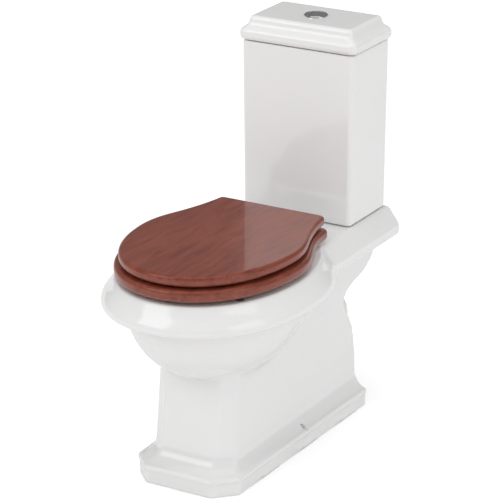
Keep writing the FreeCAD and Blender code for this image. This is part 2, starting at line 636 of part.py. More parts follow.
# ----------------------------------------------------------- cistern lid
# half sizes of the lid at the overhang
lid_hx = s.cis_w / 2 + 2.0 + s.lid_over
lid_y0 = s.cis_y - s.lid_over
lid_y1 = s.half_depth
clid = new_body("cistern_lid_body")
clid_sk = sketch_on(clid, "lid_plan", "XY_Plane")
polygon(clid_sk, [(lid_hx, lid_y0), (lid_hx, lid_y1), (-lid_hx, lid_y1), (-lid_hx, lid_y0)])
clid_pad = clid.newObject("PartDesign::Pad", "lid_band_pad")
clid_pad.Profile = clid_sk
bind(clid_pad, "Length", s.lid_band)
doc.recompute()
up = edges_where(clid_pad.Shape, lambda e: abs(e.Vertexes[0].Z - e.Vertexes[-1].Z) > 5.0)
clid_f1 = clid.newObject("PartDesign::Fillet", "lid_corners")
clid_f1.Base = (clid_pad, up)
clid_f1.Radius = 16.0
doc.recompute()
flat = edges_where(clid_f1.Shape, lambda e: abs(e.Vertexes[0].Z - e.Vertexes[-1].Z) < 0.1)
clid_f2 = clid.newObject("PartDesign::Fillet", "lid_bullnose")
clid_f2.Base = (clid_f1, flat)
clid_f2.Radius = 10.0
clid.Tip = clid_f2
put(clid, 0.0, 0.0, s.lid_z)


def rounded_plan(name, z, inset_x, inset_y, r):
    """Wire of the lid at one height, corners rounded."""
    hx, y0, y1 = lid_hx.v - inset_x, lid_y0.v + inset_y, lid_y1.v - inset_y
    k = r * (1 - math.sqrt(0.5))
    V = lambda x, y: Vector(x, y, z)
    e = [Part.LineSegment(V(hx, y0 + r), V(hx, y1 - r)), Part.Arc(V(hx, y1 - r), V(hx - k, y1 - k), V(hx - r, y1)),
         Part.LineSegment(V(hx - r, y1), V(-hx + r, y1)), Part.Arc(V(-hx + r, y1), V(-hx + k, y1 - k), V(-hx, y1 - r)),
         Part.LineSegment(V(-hx, y1 - r), V(-hx, y0 + r)), Part.Arc(V(-hx, y0 + r), V(-hx + k, y0 + k), V(-hx + r, y0)),
         Part.LineSegment(V(-hx + r, y0), V(hx - r, y0)), Part.Arc(V(hx - r, y0), V(hx - k, y0 + k), V(hx, y0 + r))]
    return Part.Wire([g.toShape() for g in e])


z_band = s.lid_z.v + s.lid_band.v
ix, iy = s.lid_in_x.v, s.lid_in_y.v
cove = doc.addObject("Part::Feature", "lid_cove")
cove.Shape = Part.makeLoft([
    rounded_plan("c0", z_band - 4.0, 4.0, 4.0, 14.0), rounded_plan("c1", z_band + 3.0, ix * 0.52, iy * 0.52, 12.0),
    rounded_plan("c2", z_band + 10.0, ix * 0.82, iy * 0.82, 10.0), rounded_plan("c3", s.lid_top.v - 5.0, ix * 0.9, iy * 0.9, 9.0),
    rounded_plan("c4", s.lid_top.v - 1.2, ix + 1.0, iy + 1.0, 8.0), rounded_plan("c5", s.lid_top.v, ix + 4.0, iy + 4.0, 6.0)], True, True)
# underside: hollow, with a lip that drops into the cistern
in_x = s.cis_w / 2 - s.cis_wall - 3.0
lip = box("lid_lip", in_x * 2, s.cis_d - s.cis_wall * 2 - 6.0, 14.0, -in_x, s.cis_y + s.cis_wall + 3.0, s.lid_z - 8.0)
under = box("lid_under", in_x * 2 - 14.0, s.cis_d - s.cis_wall * 2 - 20.0, 36.0 + 8.0, -(in_x - 7.0), s.cis_y + s.cis_wall + 10.0,
            s.lid_z - 9.0)
under2 = box("lid_under_top", (lid_hx - s.lid_in_x - 14.0) * 2, s.cis_d - 72.0, 30.0, -(lid_hx - s.lid_in_x - 14.0), s.cis_y + 36.0,
             s.lid_z + 9.5)
btn_hole = cyl("button_hole", 21.9, 80.0, 0.0, inlet_y, s.lid_z - 10.0)
clid_cut = cut("cistern_lid_cut", fuse("cistern_lid_mass", [clid, cove, lip]), under, under2, btn_hole)
node(clid_cut, "cistern_lid")

# ---------------------------------------------------------- push buttons
# threaded sleeve with a bezel on the lid, nut underneath
top = s.lid_top
sleeve = turned("button_collar_body", [
    (s.button_r + 0.3, -26.0), (21.6, -26.0), (21.6, 0.0), (s.collar_r, 0.0), (s.collar_r - 0.3, 1.6), (s.collar_r - 2.0, 3.0),
    (s.button_r + 1.2, 3.0), (s.button_r + 0.3, 2.2)], 0.0, inlet_y, top)
node(sleeve, "button_collar")
nut_hole = cyl("collar_nut_hole", 21.65, 20.0, 0.0, inlet_y, top - 25.0)
collar_nut = cut("collar_nut", prism("collar_nut_body", 6, 31.0, 7.0, 0.0, inlet_y, top - 19.2), nut_hole)
node(collar_nut, "button_collar_nut")


def dome(name):
    """Low dome of the push button, sides straight, hollow below."""
    return turned(name, [
        (0.0, -6.0), (s.button_r - 2.5, -6.0), (s.button_r - 2.5, -16.0), (s.button_r, -16.0), (s.button_r, 1.6),
        (s.button_r - 0.9, 2.8), (s.button_r - 4.0, 4.3), (s.button_r - 8.5, 5.6), (s.button_r - 14.0, 6.5), (0.0, 6.8)],
        0.0, inlet_y, top)


big = s.button_r * 2 + 10.0
# the larger button flushes the whole cistern, the smaller one half of it
full_side = box("full_side", big, big, 60.0, -5.1, inlet_y - (s.button_r + 5.0), top - 30.0)
half_side = box("half_side", big, big, 60.0, -big - 5.9, inlet_y - (s.button_r + 5.0), top - 30.0)
full_cap = common("full_cap", [dome("full_dome"), full_side])
half_cap = common("half_cap", [dome("half_dome"), half_side])
lever_z = q(668.0)
rod_low = lever_z + 2.5
boss_z = top - 13.5


def button_boss(name, x, y):
    return cyl(name, 3.6, 8.0, x, y, boss_z)


def push_rod(name, x, y):
    """Rod screwed into its button, with a blunt point just above its lever."""
    return fuse(name, [cyl(name + "_shank", 2.5, boss_z - rod_low - 3.0, x, y, rod_low + 3.0),
                       cone(name + "_tip", 1.0, 2.5, 3.0, x, y, rod_low)])


node(fuse("full_button", [full_cap, button_boss("full_boss", s.rod_x, inlet_y + s.rod_y)]), "full_flush_button")
node(fuse("half_button", [half_cap, button_boss("half_boss", -s.rod_x, inlet_y - s.rod_y)]), "half_flush_button")
node(push_rod("full_rod", s.rod_x, inlet_y + s.rod_y), "full_push_rod")
node(push_rod("half_rod", -s.rod_x, inlet_y - s.rod_y), "half_push_rod")

# ----------------------------------------------------------- flush valve
floor_z = s.cis_base + s.cis_floor
valve_washer = cut("valve_washer", cyl("valve_washer_body", 38.0, 3.0, 0.0, inlet_y, floor_z), cyl("valve_washer_hole", s.tail_r + 0.1, 9.0, 0.0, inlet_y, floor_z - 3.0))
node(valve_washer, "flush_valve_washer")
valve_base = turned("valve_base_body", [
    (s.valve_bore, -32.0), (s.tail_r, -32.0), (s.tail_r, 17.0), (37.0, 17.0), (37.0, 23.0), (s.tail_r, 23.0), (s.tail_r, 28.0),
    (s.valve_bore + 3.0, 28.0), (s.valve_bore, 25.0)], 0.0, inlet_y, s.cis_base)
node(valve_base, "flush_valve_base")
valve_nut = cut("valve_nut", prism("valve_nut_body", 8, 40.5, 12.0, 0.0, inlet_y, s.cis_base - 12.5), cyl("valve_nut_hole", s.tail_r + 0.05, 30.0, 0.0, inlet_y, s.cis_base - 20.0))
node(valve_nut, "flush_valve_nut")
doughnut = cut("doughnut", cyl("doughnut_body", s.recess_r - 0.5, s.cis_base - s.recess_z, 0.0, inlet_y, s.recess_z), cyl("doughnut_hole", 41.0, 60.0, 0.0, inlet_y, s.recess_z - 10.0))
node(doughnut, "doughnut_washer")
# cage: open at its sides so that water reaches the seat
cage_low = s.cis_base + 23.0
cage = turned("cage_body", [
    (s.tail_r + 0.2, 0.0), (s.tower_r, 0.0), (s.tower_r, 150.0), (s.stem_r + 1.2, 150.0), (s.stem_r + 1.2, 145.0), (s.tower_r - 3.0, 145.0),
    (s.tower_r - 3.0, 12.0), (s.tail_r + 0.2, 12.0)], 0.0, inlet_y, cage_low)
win_a = box("cage_window_a", 36.0, 120.0, 96.0, -18.0, inlet_y - 60.0, cage_low + 16.0)
win_b = box("cage_window_b", 120.0, 36.0, 96.0, -60.0, inlet_y - 18.0, cage_low + 16.0)
node(cut("cage", cage, win_a, win_b), "flush_valve_tower")
# bracket on the cage: one post for each lever, one lever on each side of the stem
cage_top = cage_low + 150.0
post_h = lever_z + 4.0 - cage_top
bracket = cut("bracket", fuse("bracket_mass", [
    cyl("bracket_plate", 30.0, 3.0, 0.0, inlet_y, cage_top),
    box("bracket_post_full", 10.0, 4.0, post_h, -5.0, inlet_y + s.rod_y + 3.2, cage_top),
    box("bracket_post_half", 10.0, 4.0, post_h, -5.0, inlet_y - s.rod_y - 7.2, cage_top)]),
    cyl("bracket_hole", s.stem_r + 1.2, 30.0, 0.0, inlet_y, cage_top - 10.0),
    cyl("bracket_pin_holes", 1.5, 60.0, 0.0, inlet_y - 30.0, lever_z, "y"))
node(bracket, "lever_bracket")
node(group("lever_pins", [cyl("lever_pin_full", 1.5, 10.2, 0.0, inlet_y + s.rod_y - 3.0, lever_z, "y"),
                          cyl("lever_pin_half", 1.5, 10.2, 0.0, inlet_y - s.rod_y - 7.2, lever_z, "y")]), "lever_pins_pair")


def lever(name, y):
    """Bar pivoted at its middle: the rod presses one end, the other lifts the plunger."""
    return cut(name, box(name + "_bar", 29.0, 5.0, 4.0, -14.5, y - 2.5, lever_z - 2.0),
               cyl(name + "_bore", 1.56, 20.0, 0.0, y - 10.0, lever_z, "y"))


node(lever("full_lever", inlet_y + s.rod_y), "full_flush_lever")
node(lever("half_lever", inlet_y - s.rod_y), "half_flush_lever")

# plunger: disc over the outlet, tube, stem and the two arms that the levers lift
seat_top = s.cis_base + 28.0
disc_z = seat_top + 3.3
plunger_turn = turned("plunger_turn", [
    (0.0, 0.0), (28.4, 0.0), (28.4, 3.5), (s.tube_r, 8.0), (s.tube_r, 110.0), (s.stem_r, 116.0),
    (s.stem_r, lever_z + 17.0 - disc_z), (0.0, lever_z + 17.0 - disc_z)], 0.0, inlet_y, disc_z)
arm_turn = math.degrees(math.atan2(s.rod_y.v, -s.rod_x.v))
arm_len = math.hypot(s.rod_x.v, s.rod_y.v) + 2.0


def lift_arm(name, turn, z):
    """Flat arm from the stem out over the end of a lever."""
    b = doc.addObject("Part::Box", name)
    b.Length = arm_len
    b.Width = 5.0
    b.Height = 3.0
    r = Rotation(Vector(0, 0, 1), turn)
    o = r.multVec(Vector(0, -2.5, 0))
    return put(b, o.x, inlet_y + o.y, z, r)


node(fuse("plunger", [plunger_turn, lift_arm("full_arm", arm_turn, lever_z + 2.5),
                      lift_arm("half_arm", arm_turn - 180.0, lever_z + 11.5)]), "flush_valve_plunger")
node(cut("valve_seal", cyl("valve_seal_body", 28.0, 3.0, 0.0, inlet_y, seat_top + 0.3),
         cyl("valve_seal_hole", 20.0, 20.0, 0.0, inlet_y, seat_top - 10.0)), "flush_valve_seal")

# --------------------------------------------------------- coupling bolts
sides = [("r", 1.0), ("l", -1.0)]
shelf_low = s.rim_top - s.shelf_thick


def wing_nut(name, x, y, z, bore):
    """Hub with two wings, under a washer at height z."""
    return cut(name, fuse(name + "_mass", [cyl(name + "_hub", 8.0, 9.0, x, y, z - 9.0),
                                           box(name + "_wings", 30.0, 3.0, 11.0, x - 15.0, y - 1.5, z - 15.0)]),
               cyl(name + "_bore", bore, 40.0, x, y, z - 30.0))


def ring_at(name, r_out, r_in, length, x, y, z):
    return cut(name, cyl(name + "_out", r_out, length, x, y, z), cyl(name + "_in", r_in, length + 20.0, x, y, z - 10.0))


node(group("coupling_bolts_g", [fuse("coupling_bolt_" + n, [
    cyl("coupling_head_" + n, 8.0, 5.0, s.bolt_x * k, inlet_y, floor_z + 3.0),
    cyl("coupling_shank_" + n, s.bolt_r, 66.0, s.bolt_x * k, inlet_y, floor_z + 3.0 - 66.0)]) for n, k in sides]), "coupling_bolts")
node(group("bolt_washers_g", [ring_at("bolt_washer_" + n, 12.0, s.bolt_r + 0.05, 3.0, s.bolt_x * k, inlet_y, floor_z) for n, k in sides]),
     "coupling_bolt_washers")
node(group("nut_washers_g", [ring_at("nut_washer_" + n, 14.0, s.bolt_r + 0.05, 3.0, s.bolt_x * k, inlet_y, shelf_low - 3.0) for n, k in sides]),
     "coupling_nut_washers")
node(group("coupling_nuts_g", [wing_nut("coupling_nut_" + n, s.bolt_x * k, inlet_y, shelf_low - 3.0, s.bolt_r + 0.03) for n, k in sides]),
     "coupling_wing_nuts")

# ------------------------------------------------------------ fill valve
fx, fy = s.fill_x, s.cis_y + s.fill_dy
tail_len = floor_z + 2.0 - 358.0
fill_body = cut("fill_body", fuse("fill_body_mass", [
    cyl("fill_tail", s.inlet_r, s.cis_base - 13.0 - 358.0, fx, fy, 358.0),
    cyl("fill_shank", s.inlet_r - 0.18, tail_len, fx, fy, 358.0),
    cyl("fill_flange", 17.0, 3.0, fx, fy, floor_z + 2.0),
    cyl("fill_column", s.column_r, 690.0 - floor_z - 5.0, fx, fy, floor_z + 5.0)]),
    cyl("fill_bore", 5.0, 400.0, fx, fy, 340.0))
node(fill_body, "fill_valve_body")
node(ring_at("fill_washer", 17.0, s.inlet_r - 0.13, 2.0, fx, fy, floor_z), "fill_valve_washer")
node(cut("fill_nut", prism("fill_nut_body", 6, 17.5, 11.0, fx, fy, s.cis_base - 11.0),
         cyl("fill_nut_hole", s.inlet_r - 0.15, 40.0, fx, fy, s.cis_base - 30.0)), "fill_valve_nut")
head = fuse("fill_head", [cyl("fill_cap", 15.0, 22.0, fx, fy, 690.0),
                          box("fill_lug_a", 8.0, 3.0, 22.0, fx - 16.0, fy - 6.2, 708.0),
                          box("fill_lug_b", 8.0, 3.0, 22.0, fx - 16.0, fy + 3.2, 708.0)])
arm_z = q(725.0)
node(cut("fill_head_cut", head, cyl("fill_pin_hole", 1.5, 30.0, fx - 12.0, fy - 15.0, arm_z, "y")), "fill_valve_head")
node(cyl("arm_pin", 1.5, 12.4, fx - 12.0, fy - 6.2, arm_z, "y"), "float_arm_pin")
float_arm = cut("float_arm_cut", box("float_arm_bar", 36.0, 6.0, 4.0, fx - 15.0, fy - 3.0, arm_z - 2.0),
                cyl("float_arm_bore", 1.56, 20.0, fx - 12.0, fy - 10.0, arm_z, "y"),
                box("float_arm_fork", 12.0, 4.2, 20.0, fx + 13.0, fy - 2.1, arm_z - 10.0))
node(float_arm, "float_arm")
float_cup = cut("float_cup_cut", cyl("float_out", 23.0, 60.0, fx, fy, 600.0), cyl("float_in", s.column_r + 1.0, 90.0, fx, fy, 590.0),
                ring_at("float_hollow", 21.2, s.column_r + 3.0, 58.0, fx, fy, 590.0))
node(float_cup, "float_cup")
node(cyl("float_rod", 1.5, 78.0, fx + 18.0, fy, 660.0), "float_link_rod")

# ------------------------------------------------------------------ seat
doc.recompute()


def soften(body, base, radius, test, name):
    f = body.newObject("PartDesign::Fillet", name)
    f.Base = (base, edges_where(base.Shape, test))
    f.Radius = radius
    doc.recompute()
    return f


lid_body = new_body("seat_lid_body")
lid_sk = seat_sketch(lid_body, "seat_lid_plan", s.lid_a.v, s.lid_b.v, LID_TAIL, s.seat_n.v)
lid_pad = lid_body.newObject("PartDesign::Pad", "seat_lid_board")
lid_pad.Profile = lid_sk
bind(lid_pad, "Length", s.slid_t)
doc.recompute()
lid_f = soften(lid_body, lid_pad, 12.0, lambda e: abs(e.Vertexes[0].Z - e.Vertexes[-1].Z) > 5.0, "seat_lid_corners")
lid_f = soften(lid_body, lid_f, 8.5, lambda e: abs(e.Vertexes[0].Z - e.Vertexes[-1].Z) < 0.1, "seat_lid_edge")
lid_body.Tip = lid_f
put(lid_body, 0.0, 0.0, s.slid_z)

ring_body = new_body("seat_ring_body")
ring_sk = seat_sketch(ring_body, "seat_ring_plan", s.ring_a.v, s.ring_b.v, RING_TAIL, s.seat_n.v)
ring_pad = ring_body.newObject("PartDesign::Pad", "seat_ring_board")
ring_pad.Profile = ring_sk
bind(ring_pad, "Length", s.ring_t)
doc.recompute()
ring_f = soften(ring_body, ring_pad, 12.0, lambda e: abs(e.Vertexes[0].Z - e.Vertexes[-1].Z) > 5.0, "seat_ring_corners")
ring_f = soften(ring_body, ring_f, 8.5, lambda e: abs(e.Vertexes[0].Z - e.Vertexes[-1].Z) < 0.1, "seat_ring_edge")
ring_body.Tip = ring_f
put(ring_body, 0.0, 0.0, s.ring_z)
# opening of the ring, flared at its top and bottom edges
hz = s.ring_z.v
ring_hole = oval_loft("ring_hole", [
    (hz - 1.0, s.hole_a.v + 5.0, s.hole_b.v + 5.0, s.hole_b.v + 5.0, s.hole_y.v),
    (hz + 4.0, s.hole_a.v, s.hole_b.v, s.hole_b.v, s.hole_y.v),
    (hz + 12.0, s.hole_a.v, s.hole_b.v, s.hole_b.v, s.hole_y.v),
    (hz + 20.0, s.hole_a.v + 3.0, s.hole_b.v + 3.0, s.hole_b.v + 3.0, s.hole_y.v),
    (hz + s.ring_t.v + 1.0, s.hole_a.v + 10.0, s.hole_b.v + 10.0, s.hole_b.v + 10.0, s.hole_y.v)])

# hinge: posts on the shelf, a bar through them, straps with knuckles on the bar
wood_y = s.bar_y - 16.5


def strap_lid(name, x, w):
    """Flat strap under the lid with a knuckle on the bar."""
    z = s.slid_z - 2.5
    return cut(name, fuse(name + "_mass", [cyl(name + "_knuckle", s.knuckle_r, w, x, s.bar_y, s.bar_z, "x"),
                                           box(name + "_plate", w, 66.0, 2.5, x, s.bar_y - 66.0, z)]),
               cyl(name + "_bore", s.knuckle_bore, w + 20.0, x - 10.0, s.bar_y, s.bar_z, "x"))


def strap_ring(name, x, w):
    """Cranked strap: knuckle, web down behind the ring, plate under it."""
    z = s.ring_z - 3.0
    return cut(name, fuse(name + "_mass", [cyl(name + "_knuckle", s.knuckle_r, w, x, s.bar_y, s.bar_z, "x"),
                                           box(name + "_link", w, 14.0, 4.0, x, s.bar_y - 14.0, s.bar_z - 6.5),
                                           box(name + "_web", w, 3.0, s.bar_z - 2.5 - z, x, s.bar_y - 14.0, z),
                                           box(name + "_plate", w, 62.0, 3.0, x, s.bar_y - 74.0, z)]),
               cyl(name + "_bore", s.knuckle_bore, w + 20.0, x - 10.0, s.bar_y, s.bar_z, "x"))


node(group("lid_straps", [strap_lid("lid_strap_r", q(38.0), 12.0), strap_lid("lid_strap_l", q(-50.0), 12.0)]), "lid_hinge_straps")
node(group("ring_straps", [strap_ring("ring_strap_r", q(53.0), 12.0), strap_ring("ring_strap_l", q(-65.0), 12.0)]), "ring_hinge_straps")


def wood_screw(name, x, y, z, up):
    """Countersunk screw driven up from z into the wood."""
    return fuse(name, [cone(name + "_head", 3.6, 1.8, 2.4, x, y, z), cyl(name + "_shank", 1.8, up, x, y, z)])


lid_screw_z = s.slid_z - 2.5
ring_screw_z = s.ring_z - 3.0
lid_screws = [wood_screw("lid_screw_%d" % i, x, y, lid_screw_z, 13.0)
              for i, (x, y) in enumerate([(44.0, s.bar_y - 36.0), (44.0, s.bar_y - 58.0), (-44.0, s.bar_y - 36.0), (-44.0, s.bar_y - 58.0)])]
ring_screws = [wood_screw("ring_screw_%d" % i, x, y, ring_screw_z, 14.0)
               for i, (x, y) in enumerate([(59.0, s.bar_y - 42.0), (59.0, s.bar_y - 64.0), (-59.0, s.bar_y - 42.0), (-59.0, s.bar_y - 64.0)])]
lid_screw_group = node(group("lid_screw_group", lid_screws), "lid_hinge_screws")
ring_screw_group = node(group("ring_screw_group", ring_screws), "ring_hinge_screws")


def screw_holes(name, z, spots):
    return group(name, [fuse(name + "_%d" % i, [cone(name + "_sink_%d" % i, 3.6, 1.8, 2.4, x, y, z), cyl(name + "_hole_%d" % i, 1.8, 14.0, x, y, z)])
                        for i, (x, y) in enumerate(spots)])


# the straps and the wood are drilled for the screws
for strap in list(NODES):
    if strap.Label == "lid_hinge_straps":
        NODES.remove(strap)
        strap.Label = "lid_straps_blank"
        lid_straps = node(cut("lid_straps_drilled", strap, screw_holes("lid_strap_holes", lid_screw_z, [
            (44.0, s.bar_y - 36.0), (44.0, s.bar_y - 58.0), (-44.0, s.bar_y - 36.0), (-44.0, s.bar_y - 58.0)])), "lid_hinge_straps")
    elif strap.Label == "ring_hinge_straps":
        NODES.remove(strap)
        strap.Label = "ring_straps_blank"
        ring_straps = node(cut("ring_straps_drilled", strap, screw_holes("ring_strap_holes", ring_screw_z, [
            (59.0, s.bar_y - 42.0), (59.0, s.bar_y - 64.0), (-59.0, s.bar_y - 42.0), (-59.0, s.bar_y - 64.0)])), "ring_hinge_straps")
lid_pilot = group("lid_pilots", [cyl("lid_pilot_%d" % i, 1.8, 13.0, x, y, lid_screw_z) for i, (x, y) in enumerate(
    [(44.0, s.bar_y - 36.0), (44.0, s.bar_y - 58.0), (-44.0, s.bar_y - 36.0), (-44.0, s.bar_y - 58.0)])])
ring_pilot = group("ring_pilots", [cyl("ring_pilot_%d" % i, 1.8, 14.0, x, y, ring_screw_z) for i, (x, y) in enumerate(
    [(59.0, s.bar_y - 42.0), (59.0, s.bar_y - 64.0), (-59.0, s.bar_y - 42.0), (-59.0, s.bar_y - 64.0)])])
node(cut("seat_lid_cut", lid_body, lid_pilot), "seat_lid")
node(cut("seat_ring_cut", ring_body, ring_hole, ring_pilot), "seat_ring")

posts = []
for n, k in sides:
    post = turned("hinge_post_" + n, [
        (0.0, -40.0), (s.stud_r, -40.0), (s.stud_r, 0.0), (14.0, 0.0), (14.0, 2.0), (12.0, 4.0), (s.post_r, 6.5),
        (s.post_r - 0.6, 20.0), (s.post_r, 34.0), (s.post_r - 1.2, 37.5), (s.post_r - 4.0, 39.4), (0.0, 40.0)],
        s.post_x * k, s.bar_y, s.rim_top + 1.5)
    posts.append(cut("hinge_post_cut_" + n, post, cyl("hinge_post_bore_" + n, s.bar_r + 0.02, 40.0, s.post_x * k - 20.0, s.bar_y, s.bar_z, "x")))
node(group("hinge_posts_g", posts), "hinge_posts")
node(fuse("hinge_bar", [cyl("hinge_bar_rod", s.bar_r, s.post_x * 2 + 20.0, -(s.post_x + 10.0), s.bar_y, s.bar_z, "x"),
                        cyl("hinge_bar_cap_r", 5.5, 4.0, s.post_x + s.post_r + 0.3, s.bar_y, s.bar_z, "x"),
                        cyl("hinge_bar_cap_l", 5.5, 4.0, -(s.post_x + s.post_r + 4.3), s.bar_y, s.bar_z, "x")]), "hinge_rod")
node(group("post_washers_g", [ring_at("post_washer_" + n, 14.5, s.stud_r + 0.05, 1.5, s.post_x * k, s.bar_y, s.rim_top) for n, k in sides]),
     "hinge_post_washers")
node(group("stud_washers_g", [ring_at("stud_washer_" + n, 15.0, s.stud_r + 0.05, 4.0, s.post_x * k, s.bar_y, shelf_low - 4.0) for n, k in sides]),
     "hinge_nut_washers")
node(group("stud_nuts_g", [wing_nut("stud_nut_" + n, s.post_x * k, s.bar_y, shelf_low - 4.0, s.stud_r + 0.03) for n, k in sides]),
     "hinge_wing_nuts")

node(group("ring_buffer_g", [cyl("ring_buffer_%d" % i, 8.0, s.ring_z - s.rim_top - 0.3, x, y, s.rim_top + 0.3)
                             for i, (x, y) in enumerate([(134.0, -252.0), (-134.0, -252.0), (138.0, 0.0), (-138.0, 0.0)])]), "ring_buffers")
gap = s.slid_z - s.ring_z - s.ring_t - 0.3
node(group("lid_buffer_g", [cyl("lid_buffer_%d" % i, 6.0, gap, x, y, s.slid_z - gap)
                            for i, (x, y) in enumerate([(55.0, -305.0), (-55.0, -305.0), (142.0, -40.0), (-142.0, -40.0)])]), "lid_buffers")

# ---------------------------------------------------------- floor fixing
brackets = []
screws = []
for n, k in sides:
    x_in = 62.0 if k > 0 else -98.0
    x_up = 84.0 if k > 0 else -90.0
    brackets.append(cut("floor_bracket_" + n, fuse("floor_bracket_mass_" + n, [
        box("bracket_base_" + n, 36.0, 44.0, 5.0, x_in, s.fix_y - 22.0, 0.0),
        box("bracket_up_" + n, 6.0, 44.0, 54.0, x_up, s.fix_y - 22.0, 0.0)]),
        cyl("bracket_floor_hole_" + n, 4.0, 30.0, 76.0 * k, s.fix_y, -10.0),
        cyl("bracket_screw_hole_" + n, 2.25, 60.0, 95.0 * k - 30.0, s.fix_y, s.fix_z, "x")))
    screws.append(fuse("side_screw_" + n, [
        cyl("side_screw_shank_" + n, 2.2, 34.0, 78.0 if k > 0 else -112.0, s.fix_y, s.fix_z, "x"),
        cyl("side_screw_head_" + n, 4.2, 3.0, 109.0 if k > 0 else -112.0, s.fix_y, s.fix_z, "x")]))
node(group("floor_brackets_g", brackets), "floor_brackets")
node(group("side_screws_g", screws), "side_fixing_screws")

# ---------------------------------------------------------------- output
doc.recompute()
for o in doc.Objects:
    if "Invalid" in o.State or "Error" in o.State:
        raise RuntimeError("failed object " + o.Name + " " + str(o.State))
os.makedirs("parts", exist_ok=True)
for old in os.listdir("parts"):
    if old.endswith(".step"):
        os.remove(os.path.join("parts", old))
names = set()
for o in NODES:
    shape = o.Shape
    if shape.isNull() or not shape.isValid() or not shape.Solids:
        raise RuntimeError("bad shape in " + o.Label)
    if o.Label in names:
        raise RuntimeError("name used twice: " + o.Label)
    names.add(o.Label)
    b = shape.optimalBoundingBox(False, False)
    print("%-24s %d solid(s) %10.0f mm3  x %.1f..%.1f  y %.1f..%.1f  z %.1f..%.1f" % (
        o.Label, len(shape.Solids), shape.Volume, b.XMin, b.XMax, b.YMin, b.YMax, b.ZMin, b.ZMax))
    shape.exportStep(os.path.join("parts", o.Label + ".step"))
print("nodes", len(NODES))
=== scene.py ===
import json
import math

import bmesh
import bpy
import numpy as np
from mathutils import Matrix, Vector


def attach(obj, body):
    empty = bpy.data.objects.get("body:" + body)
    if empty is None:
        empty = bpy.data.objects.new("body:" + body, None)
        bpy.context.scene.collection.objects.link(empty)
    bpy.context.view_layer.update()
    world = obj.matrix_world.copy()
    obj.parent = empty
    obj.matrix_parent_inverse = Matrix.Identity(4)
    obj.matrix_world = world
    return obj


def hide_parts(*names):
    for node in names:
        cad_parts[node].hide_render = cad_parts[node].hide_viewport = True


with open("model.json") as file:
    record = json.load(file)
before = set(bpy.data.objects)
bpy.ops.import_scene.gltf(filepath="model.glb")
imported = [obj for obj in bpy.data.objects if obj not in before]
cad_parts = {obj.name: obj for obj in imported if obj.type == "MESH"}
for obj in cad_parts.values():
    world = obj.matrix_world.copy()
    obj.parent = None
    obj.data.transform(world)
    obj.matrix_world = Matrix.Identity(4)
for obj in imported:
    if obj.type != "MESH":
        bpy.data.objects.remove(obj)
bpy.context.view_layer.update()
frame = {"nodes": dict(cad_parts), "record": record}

MM = 0.001
RIM_Y = -104.0          # widest station of the rim
MOUTH_Y = -121.5        # middle of the bowl opening
VALVE_Y = 289.0         # middle of the flush valve


# --------------------------------------------------------------------------
# node materials
# --------------------------------------------------------------------------
class Mat:
    """A node material with an object-space noise that drives its finish."""

    def __init__(self, name):
        self.m = bpy.data.materials.new(name)
        self.m.use_nodes = True
        self.nt = self.m.node_tree
        self.b = next(n for n in self.nt.nodes if n.type == "BSDF_PRINCIPLED")
        self.co = self.nt.nodes.new("ShaderNodeTexCoord")

    def set(self, **kw):
        for k, v in kw.items():
            self.b.inputs[k.replace("_", " ")].default_value = v

    def link(self, a, b):
        self.nt.links.new(a, b)

    def mapping(self, scale=(1, 1, 1), rot=(0, 0, 0)):
        n = self.nt.nodes.new("ShaderNodeMapping")
        n.inputs["Scale"].default_value = scale
        n.inputs["Rotation"].default_value = rot
        self.link(self.co.outputs["Object"], n.inputs["Vector"])
        return n.outputs["Vector"]

    def noise(self, scale, detail=4.0, rough=0.5, vec=None, distortion=0.0):
        n = self.nt.nodes.new("ShaderNodeTexNoise")
        n.inputs["Scale"].default_value = scale
        n.inputs["Detail"].default_value = detail
        n.inputs["Roughness"].default_value = rough
        n.inputs["Distortion"].default_value = distortion
        self.link(vec if vec is not None else self.co.outputs["Object"], n.inputs["Vector"])
        return n.outputs["Fac"]

    def ramp(self, fac, stops):
        n = self.nt.nodes.new("ShaderNodeValToRGB")
        e = n.color_ramp.elements
        while len(e) < len(stops):
            e.new(0.5)
        for el, (p, c) in zip(e, stops):
            el.position = p
            el.color = (*c, 1.0) if len(c) == 3 else c
        self.link(fac, n.inputs["Fac"])
        return n.outputs["Color"]

    def span(self, fac, lo, hi, a=0.3, b=0.7):
        n = self.nt.nodes.new("ShaderNodeMapRange")
        n.inputs["From Min"].default_value = a
        n.inputs["From Max"].default_value = b
        n.inputs["To Min"].default_value = lo
        n.inputs["To Max"].default_value = hi
        self.link(fac, n.inputs["Value"])
        return n.outputs["Result"]

    def mix(self, fac, a, b):
        n = self.nt.nodes.new("ShaderNodeMix")
        n.data_type = "RGBA"
        if isinstance(fac, float):
            n.inputs["Factor"].default_value = fac
        else:
            self.link(fac, n.inputs["Factor"])
        for key, v in (("A", a), ("B", b)):
            s = [i for i in n.inputs if i.name == key and i.type == "RGBA"][0]
            if isinstance(v, tuple):
                s.default_value = (*v, 1.0) if len(v) == 3 else v
            else:
                self.link(v, s)
        return [o for o in n.outputs if o.type == "RGBA"][0]

    def bump(self, fac, strength, distance, target="Normal", after=None):
        n = self.nt.nodes.new("ShaderNodeBump")
        n.inputs["Strength"].default_value = strength
        n.inputs["Distance"].default_value = distance
        self.link(fac, n.inputs["Height"])
        if after is not None:
            self.link(after, n.inputs["Normal"])
        if target:
            self.link(n.outputs["Normal"], self.b.inputs[target])
        return n.outputs["Normal"]


